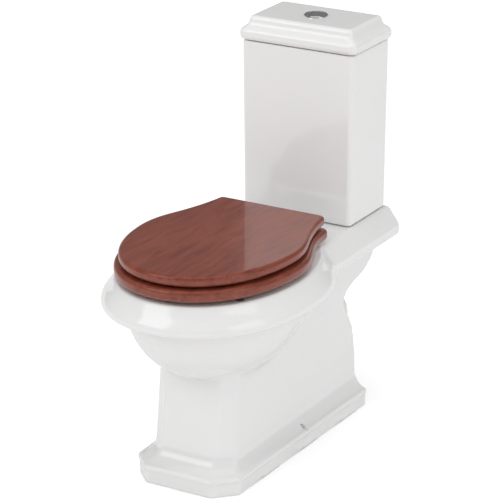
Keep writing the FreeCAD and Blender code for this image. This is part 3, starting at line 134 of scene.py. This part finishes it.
def glazed_ceramic(name, lo, hi):
    m = Mat(name)
    wide = m.noise(5.0, 3.0, 0.5)
    m.link(m.ramp(wide, [(0.3, lo), (0.7, hi)]), m.b.inputs["Base Color"])
    fine = m.noise(900.0, 2.0, 0.5)
    m.link(m.span(fine, 0.10, 0.16), m.b.inputs["Roughness"])
    m.set(IOR=1.52, Subsurface_Weight=0.06, Subsurface_Scale=0.004, Coat_Weight=0.6, Coat_Roughness=0.03, Coat_IOR=1.5)
    slow = m.noise(14.0, 2.0, 0.45)
    first = m.bump(slow, 0.10, 0.0012, target=None)
    m.bump(fine, 0.04, 0.0001, after=first)
    m.link(first, m.b.inputs["Coat Normal"])
    return m.m


def mahogany(name, dark, mid, light):
    m = Mat(name)
    v = m.mapping(scale=(9.0, 1.0, 9.0), rot=(0.0, 0.0, math.radians(3.0)))
    grain = m.noise(9.0, 7.0, 0.62, vec=v, distortion=0.55)
    v2 = m.mapping(scale=(70.0, 3.2, 70.0), rot=(0.0, 0.0, math.radians(3.0)))
    pores = m.noise(14.0, 3.0, 0.6, vec=v2)
    cloud = m.noise(4.0, 2.0, 0.5)
    c1 = m.ramp(grain, [(0.30, dark), (0.50, mid), (0.72, light)])
    c2 = m.mix(m.span(pores, 0.0, 0.30, 0.45, 0.75), c1, dark)
    c3 = m.mix(m.span(cloud, 0.0, 0.20), c2, light)
    m.link(c3, m.b.inputs["Base Color"])
    m.link(m.span(grain, 0.30, 0.42), m.b.inputs["Roughness"])
    m.set(IOR=1.35, Coat_Weight=0.55, Coat_Roughness=0.05, Coat_IOR=1.5)
    n1 = m.bump(pores, 0.05, 0.0002)
    lacquer = m.noise(22.0, 2.0, 0.5)
    n2 = m.bump(lacquer, 0.05, 0.0008, target="Coat Normal")
    return m.m


def metal(name, colour, rough_lo, rough_hi, scale=(1, 1, 1), bump=0.03):
    m = Mat(name)
    v = m.mapping(scale=scale)
    n = m.noise(160.0, 3.0, 0.5, vec=v)
    c = tuple(min(1.0, q * 1.04) for q in colour)
    m.link(m.ramp(n, [(0.3, colour), (0.7, c)]), m.b.inputs["Base Color"])
    m.link(m.span(n, rough_lo, rough_hi), m.b.inputs["Roughness"])
    m.set(Metallic=1.0)
    m.bump(n, bump, 0.0001)
    return m.m


def moulded(name, colour, rough, scale=700.0, bump=0.12, vary=0.06):
    m = Mat(name)
    n = m.noise(scale, 3.0, 0.55)
    w = m.noise(30.0, 2.0, 0.5)
    lo = tuple(q * (1.0 - vary) for q in colour)
    m.link(m.ramp(w, [(0.3, lo), (0.7, colour)]), m.b.inputs["Base Color"])
    m.link(m.span(n, rough * 0.85, min(1.0, rough * 1.15)), m.b.inputs["Roughness"])
    m.bump(n, bump, 0.0002)
    return m.m


CERAMIC = glazed_ceramic("glazed_ceramic_white", (0.868, 0.866, 0.860), (0.885, 0.883, 0.878))
WOOD = mahogany("mahogany_gloss", (0.140, 0.026, 0.015), (0.235, 0.050, 0.028), (0.310, 0.080, 0.046))
CHROME = metal("chrome_plate_polished", (0.80, 0.81, 0.83), 0.05, 0.09)
BRASS = metal("brass_plain", (0.66, 0.50, 0.24), 0.22, 0.34)
STEEL = metal("steel_zinc", (0.58, 0.59, 0.60), 0.28, 0.42, scale=(1, 1, 4))
WHITE = moulded("plastic_white", (0.78, 0.78, 0.76), 0.38)
GREY = moulded("plastic_grey", (0.11, 0.12, 0.14), 0.42)
RUBBER = moulded("rubber_black", (0.018, 0.018, 0.018), 0.62, scale=420.0, bump=0.25, vary=0.2)

BY_SLOT = {"glazed_ceramic": CERAMIC, "mahogany": WOOD, "chrome_plate": CHROME, "brass_fitting": BRASS,
           "zinc_steel": STEEL, "white_plastic": WHITE, "grey_plastic": GREY, "black_rubber": RUBBER}
SLOT_OF = {s["node"]: s["material_slot"] for s in frame["record"]["subparts"]}
for node, obj in frame["nodes"].items():
    mat = BY_SLOT[SLOT_OF[node]]
    if obj.material_slots:
        for slot in obj.material_slots:
            slot.material = mat
    else:
        obj.data.materials.append(mat)


# --------------------------------------------------------------------------
# distance fields, in millimetres
# --------------------------------------------------------------------------
def polyline_distance(P, pts, closed):
    """Distance from the points P to a polyline in the plane; signed (inside is negative) when it is closed."""
    pts = np.asarray(pts, float)
    a = pts if closed else pts[:-1]
    b = np.roll(pts, -1, axis=0) if closed else pts[1:]
    best = np.full(len(P), 1e18)
    inside = np.zeros(len(P), bool)
    for (ax, ay), (bx, by) in zip(a, b):
        dx, dy = bx - ax, by - ay
        L = dx * dx + dy * dy
        if L < 1e-12:
            continue
        t = np.clip(((P[:, 0] - ax) * dx + (P[:, 1] - ay) * dy) / L, 0.0, 1.0)
        best = np.minimum(best, (P[:, 0] - ax - t * dx) ** 2 + (P[:, 1] - ay - t * dy) ** 2)
        if closed:
            crosses = (ay > P[:, 1]) != (by > P[:, 1])
            if dy != 0.0:
                inside ^= crosses & (P[:, 0] < ax + (P[:, 1] - ay) * dx / dy)
    d = np.sqrt(best)
    return np.where(inside, -d, d) if closed else d


class Table:
    """A distance in the plane, kept on a grid."""

    def __init__(self, pts, lo, hi, step, closed=True):
        self.lo, self.step = lo, step
        nu, nv = int((hi[0] - lo[0]) / step) + 2, int((hi[1] - lo[1]) / step) + 2
        U, V = np.meshgrid(lo[0] + step * np.arange(nu), lo[1] + step * np.arange(nv), indexing="ij")
        self.v = polyline_distance(np.stack([U.ravel(), V.ravel()], 1), pts, closed).reshape(U.shape)

    def __call__(self, u, v):
        s = self.v.shape
        a = np.clip((u - self.lo[0]) / self.step, 0.0, s[0] - 1.001)
        b = np.clip((v - self.lo[1]) / self.step, 0.0, s[1] - 1.001)
        i, j = a.astype(np.int32), b.astype(np.int32)
        a, b = a - i, b - j
        t = self.v
        return (t[i, j] * (1 - a) + t[i + 1, j] * a) * (1 - b) + (t[i, j + 1] * (1 - a) + t[i + 1, j + 1] * a) * b


def smooth_min(a, b, k):
    h = np.maximum(k - np.abs(a - b), 0.0) / k
    return np.minimum(a, b) - h * h * k * 0.25


def smooth_max(a, b, k):
    return -smooth_min(-a, -b, k)


def through(pts, n=6):
    """A smooth line through points (Catmull-Rom)."""
    p = [np.array(q, float) for q in pts]
    p = [2 * p[0] - p[1]] + p + [2 * p[-1] - p[-2]]
    out = []
    for i in range(1, len(p) - 2):
        for k in range(n):
            t = k / n
            out.append(0.5 * (2 * p[i] + (p[i + 1] - p[i - 1]) * t + (2 * p[i - 1] - 5 * p[i] + 4 * p[i + 1] - p[i + 2]) * t * t
                              + (3 * p[i] - p[i - 1] - 3 * p[i + 1] + p[i + 2]) * t ** 3))
    out.append(p[-2])
    return [tuple(q) for q in out]


def oval(a, b, yc, n, count=360):
    pts = []
    for i in range(count):
        w = 2 * math.pi * i / count
        c, s = math.cos(w), math.sin(w)
        pts.append((a * math.copysign(abs(c) ** (2 / n), c), yc + b * math.copysign(abs(s) ** (2 / n), s)))
    return pts


# --------------------------------------------------------------------------
# the pan: one glazed casting
# --------------------------------------------------------------------------
RIM_PLAN = Table(oval(193.5, 250.0, RIM_Y, 2.10), (-250, -420), (250, 260), 1.5)
RIM_SECTION = [(-130, 430.0), (-8.5, 430.0)] + through([
    (-6.5, 429.4), (-4.0, 427.0), (-0.5, 421.5), (3.6, 414.5), (8.0, 408.0), (12.6, 402.0), (16.8, 396.0), (20.0, 390.5), (21.8, 385.0),
    (21.6, 380.0), (19.2, 375.4), (14.6, 371.8), (8.5, 369.7), (0.0, 369.0)], 5) + [(-24.0, 369.0), (-130, 369.0)]
RIM = Table(RIM_SECTION, (-190, 330), (80, 470), 0.6)
SHELF_SECTION = [(-40, 430.0), (129.5, 430.0)] + through([
    (131.8, 429.4), (135.0, 427.0), (139.5, 421.5), (144.5, 414.5), (149.5, 408.0), (154.0, 402.0), (157.5, 396.0), (159.6, 390.5),
    (160.0, 385.0), (159.4, 379.0), (157.5, 373.5), (154.0, 369.2)], 5) + [(-40, 369.0)]
SHELF = Table(SHELF_SECTION, (-10, 320), (240, 480), 0.6)


def stepped(foot, low, top, high, bead=3.0):
    """Outline of one face of the pedestal: foot, bead, cove, long taper."""
    back = foot - low
    pts = [(foot, -40.0), (foot, 25.5)]
    pts += through([(foot, 26.5), (foot + bead * 0.45, 28.2), (foot + bead * 0.9, 31.0), (foot + bead, 34.0), (foot + bead * 0.75, 37.0),
                    (foot + bead * 0.05, 39.2), (foot - 2.2, 40.0)], 4)
    pts += through([(foot - 4.6, 40.3), (foot - back * 0.32, 42.2), (foot - back * 0.52, 46.0), (foot - back * 0.70, 51.0),
                    (foot - back * 0.84, 57.0), (foot - back * 0.94, 63.5), (low, 71.0)], 4)
    pts += [(low + (top - low) * 0.34, 130.0), (top, 250.0), (high, 381.0), (high - (top - high) * 0.6, 470.0), (-140.0, 470.0), (-140.0, -40.0)]
    return pts


FRONT = Table(stepped(270.5, 231.5, 210.5, 150.5), (60, -60), (330, 480), 0.6)
SIDE = Table(stepped(118.0, 94.0, 90.0, 90.0), (-20, -60), (240, 480), 0.6)
CHAMFER = Table(stepped(244.3, 208.2, 194.8, 152.4), (30, -60), (330, 480), 0.6)
BACK_LINE = [(376.5, 333.0), (373.0, 318.0), (357.0, 303.5), (330.0, 289.0), (287.0, 278.5), (258.0, 266.0), (247.0, 250.0),
             (253.0, 229.0), (269.0, 205.0), (281.0, 182.0), (287.0, 152.0), (291.0, 122.0), (293.0, 100.0), (292.5, 60.0)]
BACK = Table([(-500, -60), (-500, 520), (376.5, 520), (376.5, 350)] + through(BACK_LINE, 5) + [(292.0, -60)], (-60, -60), (440, 480), 1.0)

INNER = [(435.0, 122.0, 165.0, 165.0, -121.5), (369.0, 120.0, 163.0, 163.0, -121.5), (320.0, 106.0, 143.0, 153.0, -117.5),
         (270.0, 82.0, 105.0, 121.0, -107.5), (225.0, 60.0, 65.0, 81.0, -89.5), (185.0, 46.0, 48.0, 50.0, -75.5), (120.0, 40.0, 40.0, 40.0, -75.5)]
_iz = np.array([r[0] for r in reversed(INNER)])
_ir = [np.array([r[k] for r in reversed(INNER)]) for k in (1, 2, 3, 4)]


def trap_line():
    """Middle line of the trap in the plane of symmetry: sump, rise to the weir, outlet."""
    sump = MOUTH_Y + 46.0
    p = [(sump - 30.0, 148.0), (sump + 30.0, 148.0), (62.0, 210.0), (150.0, 180.0), (440.0, 180.0)]
    out = [p[0]]
    for i in range(1, len(p) - 1):
        a, b, c = (np.array(q) for q in (p[i - 1], p[i], p[i + 1]))
        u, v = (a - b) / np.linalg.norm(a - b), (c - b) / np.linalg.norm(c - b)
        d = min(np.linalg.norm(a - b), np.linalg.norm(c - b)) * 0.42
        for k in range(9):
            t = k / 8.0
            out.append(tuple((1 - t) ** 2 * (b + u * d) + 2 * t * (1 - t) * b + t * t * (b + v * d)))
    out.append(p[-1])
    return out


TRAP = Table(trap_line(), (-200, 40), (460, 330), 1.5, closed=False)


def ellipsoid(x, y, z, yc, zc, a, b, c):
    px, py, pz = x / a, (y - yc) / b, (z - zc) / c
    k0 = np.sqrt(px * px + py * py + pz * pz)
    k1 = np.sqrt((px / a) ** 2 + (py / b) ** 2 + (pz / c) ** 2) + 1e-9
    return k0 * (k0 - 1.0) / k1


def bowl_inside(x, y, z):
    a, bf, br, yc = (np.interp(z, _iz, r) for r in _ir)
    dy = y - yc
    b = np.where(dy < 0, bf, br)
    px, py = x / a, dy / b
    k0 = np.sqrt(px * px + py * py) + 1e-9
    k1 = np.sqrt((px / a) ** 2 + (py / b) ** 2) + 1e-9
    return np.maximum(k0 * (k0 - 1.0) / k1 * 0.9, 182.0 - z)


def upright(x, y, cx, cy, r):
    return np.sqrt((x - cx) ** 2 + (y - cy) ** 2) - r


def pan_field(x, y, z):
    ax = np.abs(x)
    rim = RIM(RIM_PLAN(x, y), z)
    shelf = np.maximum(SHELF(ax, z), 30.0 - y)
    widen = np.interp(z, [0.0, 40.0, 70.0], [11.0, 11.0, 8.0]) * np.clip((y + 200.0) / 492.0, 0.0, 1.2)
    side = SIDE(ax - widen, z)
    front = FRONT(-y, z)
    cham = CHAMFER((ax - y) * 0.70710678, z)
    lower = smooth_max(smooth_max(side, cham, 5.0), front, 5.0)
    lower = np.maximum(lower, z - 400.0)
    bowl = np.maximum(ellipsoid(x, y, z, RIM_Y, 377.0, 170.0, 230.0, 176.0), z - 400.0)
    outer = smooth_min(lower, bowl, 15.0)
    top = smooth_min(rim, shelf, 9.0)
    outer = smooth_min(outer, top, 7.0)
    back = BACK(y, z)
    outer = smooth_max(outer, back, 4.0)
    # hollow behind the walls
    inside = bowl_inside(x, y, z)
    t2 = TRAP(y, z)
    pipe = np.sqrt(x * x + t2 * t2)
    sump = np.sqrt(x * x + (y + 75.5) ** 2 + (z - 160.0) ** 2)
    walls = np.minimum(np.minimum(inside - 12.0, pipe - 51.0), np.minimum(sump - 58.0, np.maximum(upright(x, y, 0, VALVE_Y, 59.0), 380.0 - z)))
    hollow = np.maximum(np.maximum(SIDE(ax - widen, z) + 12.5, FRONT(-y, z) + 16.0), CHAMFER((ax - y) * 0.70710678, z) + 14.0)
    hollow = np.maximum(hollow, z - 416.0)
    hollow = smooth_max(hollow, -walls, 4.0)
    d = smooth_max(outer, -hollow, 3.0)
    spigot = np.maximum(pipe - 51.0, y - 352.0)
    spigot = np.maximum(spigot, 100.0 - y)
    d = smooth_min(d, spigot, 3.0)
    # openings
    d = smooth_max(d, -inside, 7.0)
    d = np.maximum(d, -np.maximum(np.minimum(pipe - 42.0, sump - 46.5), -110.0 - y))
    d = np.maximum(d, -np.maximum(upright(x, y, 0, VALVE_Y, 50.0), 406.0 - z))
    d = np.maximum(d, -np.maximum(upright(x, y, 0, VALVE_Y, 34.0), 362.0 - z))
    holes = np.minimum(upright(ax, y, 77.5, 128.5, 7.0), upright(ax, y, 75.0, VALVE_Y, 6.5))
    holes = np.minimum(holes, upright(x, y, -66.0, 332.5, 21.0))
    d = np.maximum(d, -np.maximum(holes, 385.0 - z))
    side_hole = np.maximum(np.sqrt((y - 42.0) ** 2 + (z - 42.0) ** 2) - 5.2, 60.0 - ax)
    d = np.maximum(d, -side_hole)
    d = np.maximum(d, -z)
    return np.maximum(d, y - 376.5)


def gradient(f, p, e=1.0):
    g = np.empty_like(p)
    for k in range(3):
        q = p.copy()
        q[:, k] += e
        r = p.copy()
        r[:, k] -= e
        g[:, k] = (f(q[:, 0], q[:, 1], q[:, 2]) - f(r[:, 0], r[:, 1], r[:, 2])) / (2 * e)
    return g


def mesh_of(name, f, lo, hi, h, keep=1.0):
    """Surface of the field f, snapped to it, with the field's own normals."""
    import openvdb as vdb
    n = [int(math.ceil((b - a) / h)) + 1 for a, b in zip(lo, hi)]
    gx, gy, gz = (lo[k] + h * np.arange(n[k]) for k in range(3))
    vol = np.empty(n, np.float32)
    for i0 in range(0, n[1], 24):
        ys = gy[i0:i0 + 24]
        X, Y, Z = np.meshgrid(gx, ys, gz, indexing="ij")
        vol[:, i0:i0 + 24, :] = f(X, Y, Z).astype(np.float32)
    vol = np.clip(vol, -3 * h, 3 * h)
    grid = vdb.FloatGrid(3 * h)
    grid.copyFromArray(vol)
    pts, quads = grid.convertToQuads(isovalue=0.0)
    pts = np.asarray(pts, float) * h + np.array(lo, float)
    start = pts.copy()
    for _ in range(4):
        g = gradient(f, pts)
        v = f(pts[:, 0], pts[:, 1], pts[:, 2])
        step = g * (v / np.maximum((g * g).sum(1), 0.05))[:, None]
        size = np.linalg.norm(step, axis=1)
        pts -= step * np.minimum(1.0, 0.5 * h / np.maximum(size, 1e-9))[:, None]
    far = np.linalg.norm(pts - start, axis=1) > 1.5 * h
    pts[far] = start[far]
    q = np.asarray(quads, np.int64)
    g = gradient(f, pts[q[::50, 0]])
    p = pts[q[::50]]
    if (np.cross(p[:, 2] - p[:, 0], p[:, 3] - p[:, 1]) * g).sum() < 0:
        q = q[:, ::-1]
    me = bpy.data.meshes.new(name + "_raw")
    me.from_pydata((pts * MM).tolist(), [], q.tolist())
    me.update()
    o = bpy.data.objects.new(name, me)
    bpy.context.scene.collection.objects.link(o)
    if keep < 1.0:
        # fewer faces where it is flat
        mod = o.modifiers.new("thin", "DECIMATE")
        mod.ratio = keep
        dg = bpy.context.evaluated_depsgraph_get()
        thin = bpy.data.meshes.new_from_object(o.evaluated_get(dg))
        o.modifiers.clear()
        o.data = thin
        bpy.data.meshes.remove(me)
        me = thin
        me.name = name
    co = np.empty(len(me.vertices) * 3)
    me.vertices.foreach_get("co", co)
    co = co.reshape(-1, 3) / MM
    g = gradient(f, co, 2.4)
    g /= np.maximum(np.linalg.norm(g, axis=1), 1e-9)[:, None]
    me.shade_smooth()
    me.normals_split_custom_set_from_vertices(g.tolist())
    return o


VOXEL = 3.6
pan = mesh_of("pan_casting", pan_field, (-232, -396, -12), (232, 392, 444), VOXEL, 0.48)
pan.data.materials.append(CERAMIC)
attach(pan, "base")
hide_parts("pan")
print("pan faces", len(pan.data.polygons))


# --------------------------------------------------------------------------
# the cistern and its lid: rounded boxes lofted ring by ring
# --------------------------------------------------------------------------
def ring(hx, y0, y1, r, z, n=7):
    """Rounded rectangle at one height."""
    pts = []
    for cx, cy, w0 in ((hx - r, y1 - r, 0.0), (-hx + r, y1 - r, 90.0), (-hx + r, y0 + r, 180.0), (hx - r, y0 + r, 270.0)):
        for k in range(n + 1):
            w = math.radians(w0 + 90.0 * k / n)
            pts.append((cx + r * math.cos(w), cy + r * math.sin(w), z))
    return pts


def skin(name, rings, body, mat, nodes, holes=(), weighted=True):
    bm = bmesh.new()
    rows = [[bm.verts.new(Vector(p) * MM) for p in r] for r in rings]
    n = len(rows[0])
    for a, b in zip(rows[:-1], rows[1:]):
        for i in range(n):
            j = (i + 1) % n
            bm.faces.new((a[i], a[j], b[j], b[i]))
    bm.faces.new(list(reversed(rows[0])))
    bm.faces.new(rows[-1])
    bmesh.ops.recalc_face_normals(bm, faces=bm.faces)
    me = bpy.data.meshes.new(name)
    bm.to_mesh(me)
    bm.free()
    o = bpy.data.objects.new(name, me)
    bpy.context.scene.collection.objects.link(o)
    for k, (centre, radius, length, axis) in enumerate(holes):
        cb = bmesh.new()
        bmesh.ops.create_cone(cb, cap_ends=True, segments=48, radius1=radius * MM, radius2=radius * MM, depth=length * MM)
        cm = bpy.data.meshes.new("%s_drill_%d" % (name, k))
        cb.to_mesh(cm)
        cb.free()
        c = bpy.data.objects.new(cm.name, cm)
        bpy.context.scene.collection.objects.link(c)
        c.location = Vector(centre) * MM
        if axis == "y":
            c.rotation_euler = (math.radians(90), 0, 0)
        bpy.context.view_layer.update()
        mod = o.modifiers.new("drill", "BOOLEAN")
        mod.operation = "DIFFERENCE"
        mod.solver = "EXACT"
        mod.object = c
        dg = bpy.context.evaluated_depsgraph_get()
        done = bpy.data.meshes.new_from_object(o.evaluated_get(dg))
        o.modifiers.clear()
        old = o.data
        o.data = done
        bpy.data.meshes.remove(old)
        bpy.data.objects.remove(c)
        bpy.data.meshes.remove(cm)
        done.name = name
    o.data.materials.clear()
    o.data.materials.append(mat)
    o.data.shade_smooth()
    if weighted:
        w = o.modifiers.new("weighted", "WEIGHTED_NORMAL")
        w.weight = 90
        w.keep_sharp = False
    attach(o, body)
    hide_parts(*nodes)
    return o


def cistern_ring(inset, z, r):
    t = 2.1 * (z - 432.0) / 366.5
    return ring(127.5 + t - inset, 208.5 - t + inset, 369.5 + t - inset, r, z)


rows = [cistern_ring(8.0, 432.0, 6.0), cistern_ring(4.4, 432.0, 8.0)]
rows += [cistern_ring(4.0 - 4.0 * math.sin(math.radians(w)), 436.0 - 4.0 * math.cos(math.radians(w)), 10.5) for w in (10, 30, 50, 70, 90)]
rows += [cistern_ring(0.0, z, 11.0) for z in (440.0, 500.0, 560.0, 620.0, 680.0, 740.0, 786.0, 794.5)]
rows += [cistern_ring(3.0 - 3.0 * math.cos(math.radians(w)), 795.5 + 3.0 * math.sin(math.radians(w)), 11.0) for w in (15, 35, 55, 75, 90)]
rows += [cistern_ring(8.6, 798.5, 7.0), cistern_ring(9.7, 797.6, 7.0), cistern_ring(10.2, 795.0, 7.0)]


def inside_ring(inset, z, r):
    return ring(117.5 - inset, 218.5 + inset, 359.5 - inset, r, z)


rows += [inside_ring(0.0, z, 7.0) for z in (780.0, 640.0, 500.0, 452.0)] + [inside_ring(1.6, 447.8, 7.0), inside_ring(5.0, 446.0, 7.0), inside_ring(9.0, 446.0, 6.0)]
cistern = skin("cistern_casting", rows, "base", CERAMIC, ["cistern"],
               holes=[((75.0, 369.0, 700.0), 4.2, 40.0, "y"), ((-75.0, 369.0, 700.0), 4.2, 40.0, "y")])


def lid_ring(inset, z):
    return ring(136.5 - inset, 201.5 + inset, 376.5 - inset, max(5.5, 16.0 - 0.42 * inset), z)


rows = [ring(95.0, 249.0, 329.0, 6.0, 839.5), ring(99.0, 245.0, 333.0, 7.0, 839.5), ring(99.5, 244.5, 333.5, 8.0, 836.0), ring(104.0, 235.0, 343.0, 8.0, 835.0),
        ring(107.0, 229.0, 349.0, 9.0, 834.0), ring(107.5, 228.5, 349.5, 9.0, 830.0), ring(107.5, 228.5, 349.5, 9.0, 796.0), ring(108.3, 227.7, 350.3, 9.5, 793.0),
        ring(110.0, 226.0, 352.0, 10.0, 792.0), ring(112.5, 223.5, 354.5, 11.0, 792.0), ring(114.0, 222.0, 356.0, 11.5, 793.0),
        ring(114.5, 221.5, 356.5, 12.0, 796.0), ring(114.5, 221.5, 356.5, 12.0, 799.0), ring(116.0, 220.0, 358.0, 12.0, 800.0)]
LID_EDGE = through([(11.0, 800.0), (6.6, 800.5), (3.0, 802.6), (0.8, 806.2), (0.0, 810.8), (0.1, 815.4), (1.2, 819.8), (3.6, 823.4), (6.8, 826.0), (10.2, 828.2),
                    (13.2, 831.6), (15.3, 836.0), (16.5, 840.6), (17.8, 844.6), (20.0, 847.6), (23.4, 849.2), (27.5, 849.5)], 3)
rows += [lid_ring(*p) for p in LID_EDGE] + [lid_ring(36.0, 849.5)]
cistern_lid = skin("cistern_lid_casting", rows, "cistern_lid", CERAMIC, ["cistern_lid"],
                   holes=[((0.0, VALVE_Y, 840.0), 22.0, 60.0, "z")])

# --------------------------------------------------------------------------
# stage: pale floor, soft light, camera
# --------------------------------------------------------------------------
def plane(name, size, z):
    me = bpy.data.meshes.new(name)
    s = size / 2
    me.from_pydata([(-s, -s, z), (s, -s, z), (s, s, z), (-s, s, z)], [], [(0, 1, 2, 3)])
    o = bpy.data.objects.new(name, me)
    bpy.context.scene.collection.objects.link(o)
    return o


floor = plane("floor", 60.0, 0.0)
fm = Mat("studio_floor")
fn = fm.noise(3.0, 2.0, 0.5)
fm.link(fm.ramp(fn, [(0.3, (0.93, 0.93, 0.93)), (0.7, (0.95, 0.95, 0.95))]), fm.b.inputs["Base Color"])
fm.set(Roughness=0.8)
fl = fm.nt.nodes.new("ShaderNodeLightPath")
fm.b.inputs["Emission Color"].default_value = (1.0, 1.0, 1.0, 1.0)
fm.link(fm.span(fl.outputs["Is Camera Ray"], 0.0, 0.30, 0.0, 1.0), fm.b.inputs["Emission Strength"])
floor.data.materials.append(fm.m)

world = bpy.data.worlds.new("studio")
world.use_nodes = True
bg = world.node_tree.nodes["Background"]
bg.inputs["Color"].default_value = (1.0, 1.0, 1.0, 1.0)
wt = world.node_tree
path = wt.nodes.new("ShaderNodeLightPath")
dim = wt.nodes.new("ShaderNodeMapRange")
dim.inputs["To Min"].default_value = 0.76
dim.inputs["To Max"].default_value = 0.20
wt.links.new(path.outputs["Is Glossy Ray"], dim.inputs["Value"])
wt.links.new(dim.outputs["Result"], bg.inputs["Strength"])
bpy.context.scene.world = world


def area(name, loc, target, size, power, size_y=None):
    L = bpy.data.lights.new(name, "AREA")
    L.shape = "RECTANGLE"
    L.size = size
    L.size_y = size_y or size
    L.energy = power
    o = bpy.data.objects.new(name, L)
    bpy.context.scene.collection.objects.link(o)
    o.location = loc
    d = Vector(target) - Vector(loc)
    o.rotation_euler = d.to_track_quat("-Z", "Y").to_euler()
    return o


area("key", (-1.6, -3.0, 3.0), (0, -0.1, 0.35), 2.2, 25.0)
area("top", (0.2, -0.2, 3.6), (0, 0, 0.4), 2.6, 14.0)
area("side", (3.2, -0.6, 1.7), (0, 0, 0.4), 2.0, 11.0)

cam_data = bpy.data.cameras.new("camera")
cam_data.lens = 180.0
cam_data.sensor_width = 36.0
cam_data.clip_end = 200.0
cam = bpy.data.objects.new("camera", cam_data)
bpy.context.scene.collection.objects.link(cam)
cam.location = (2.3865, -4.1048, 2.2012)
cam.rotation_euler = (math.radians(69.5), 0.0, math.radians(30.07))
bpy.context.scene.camera = cam
bpy.context.scene.view_settings.view_transform = "Standard"
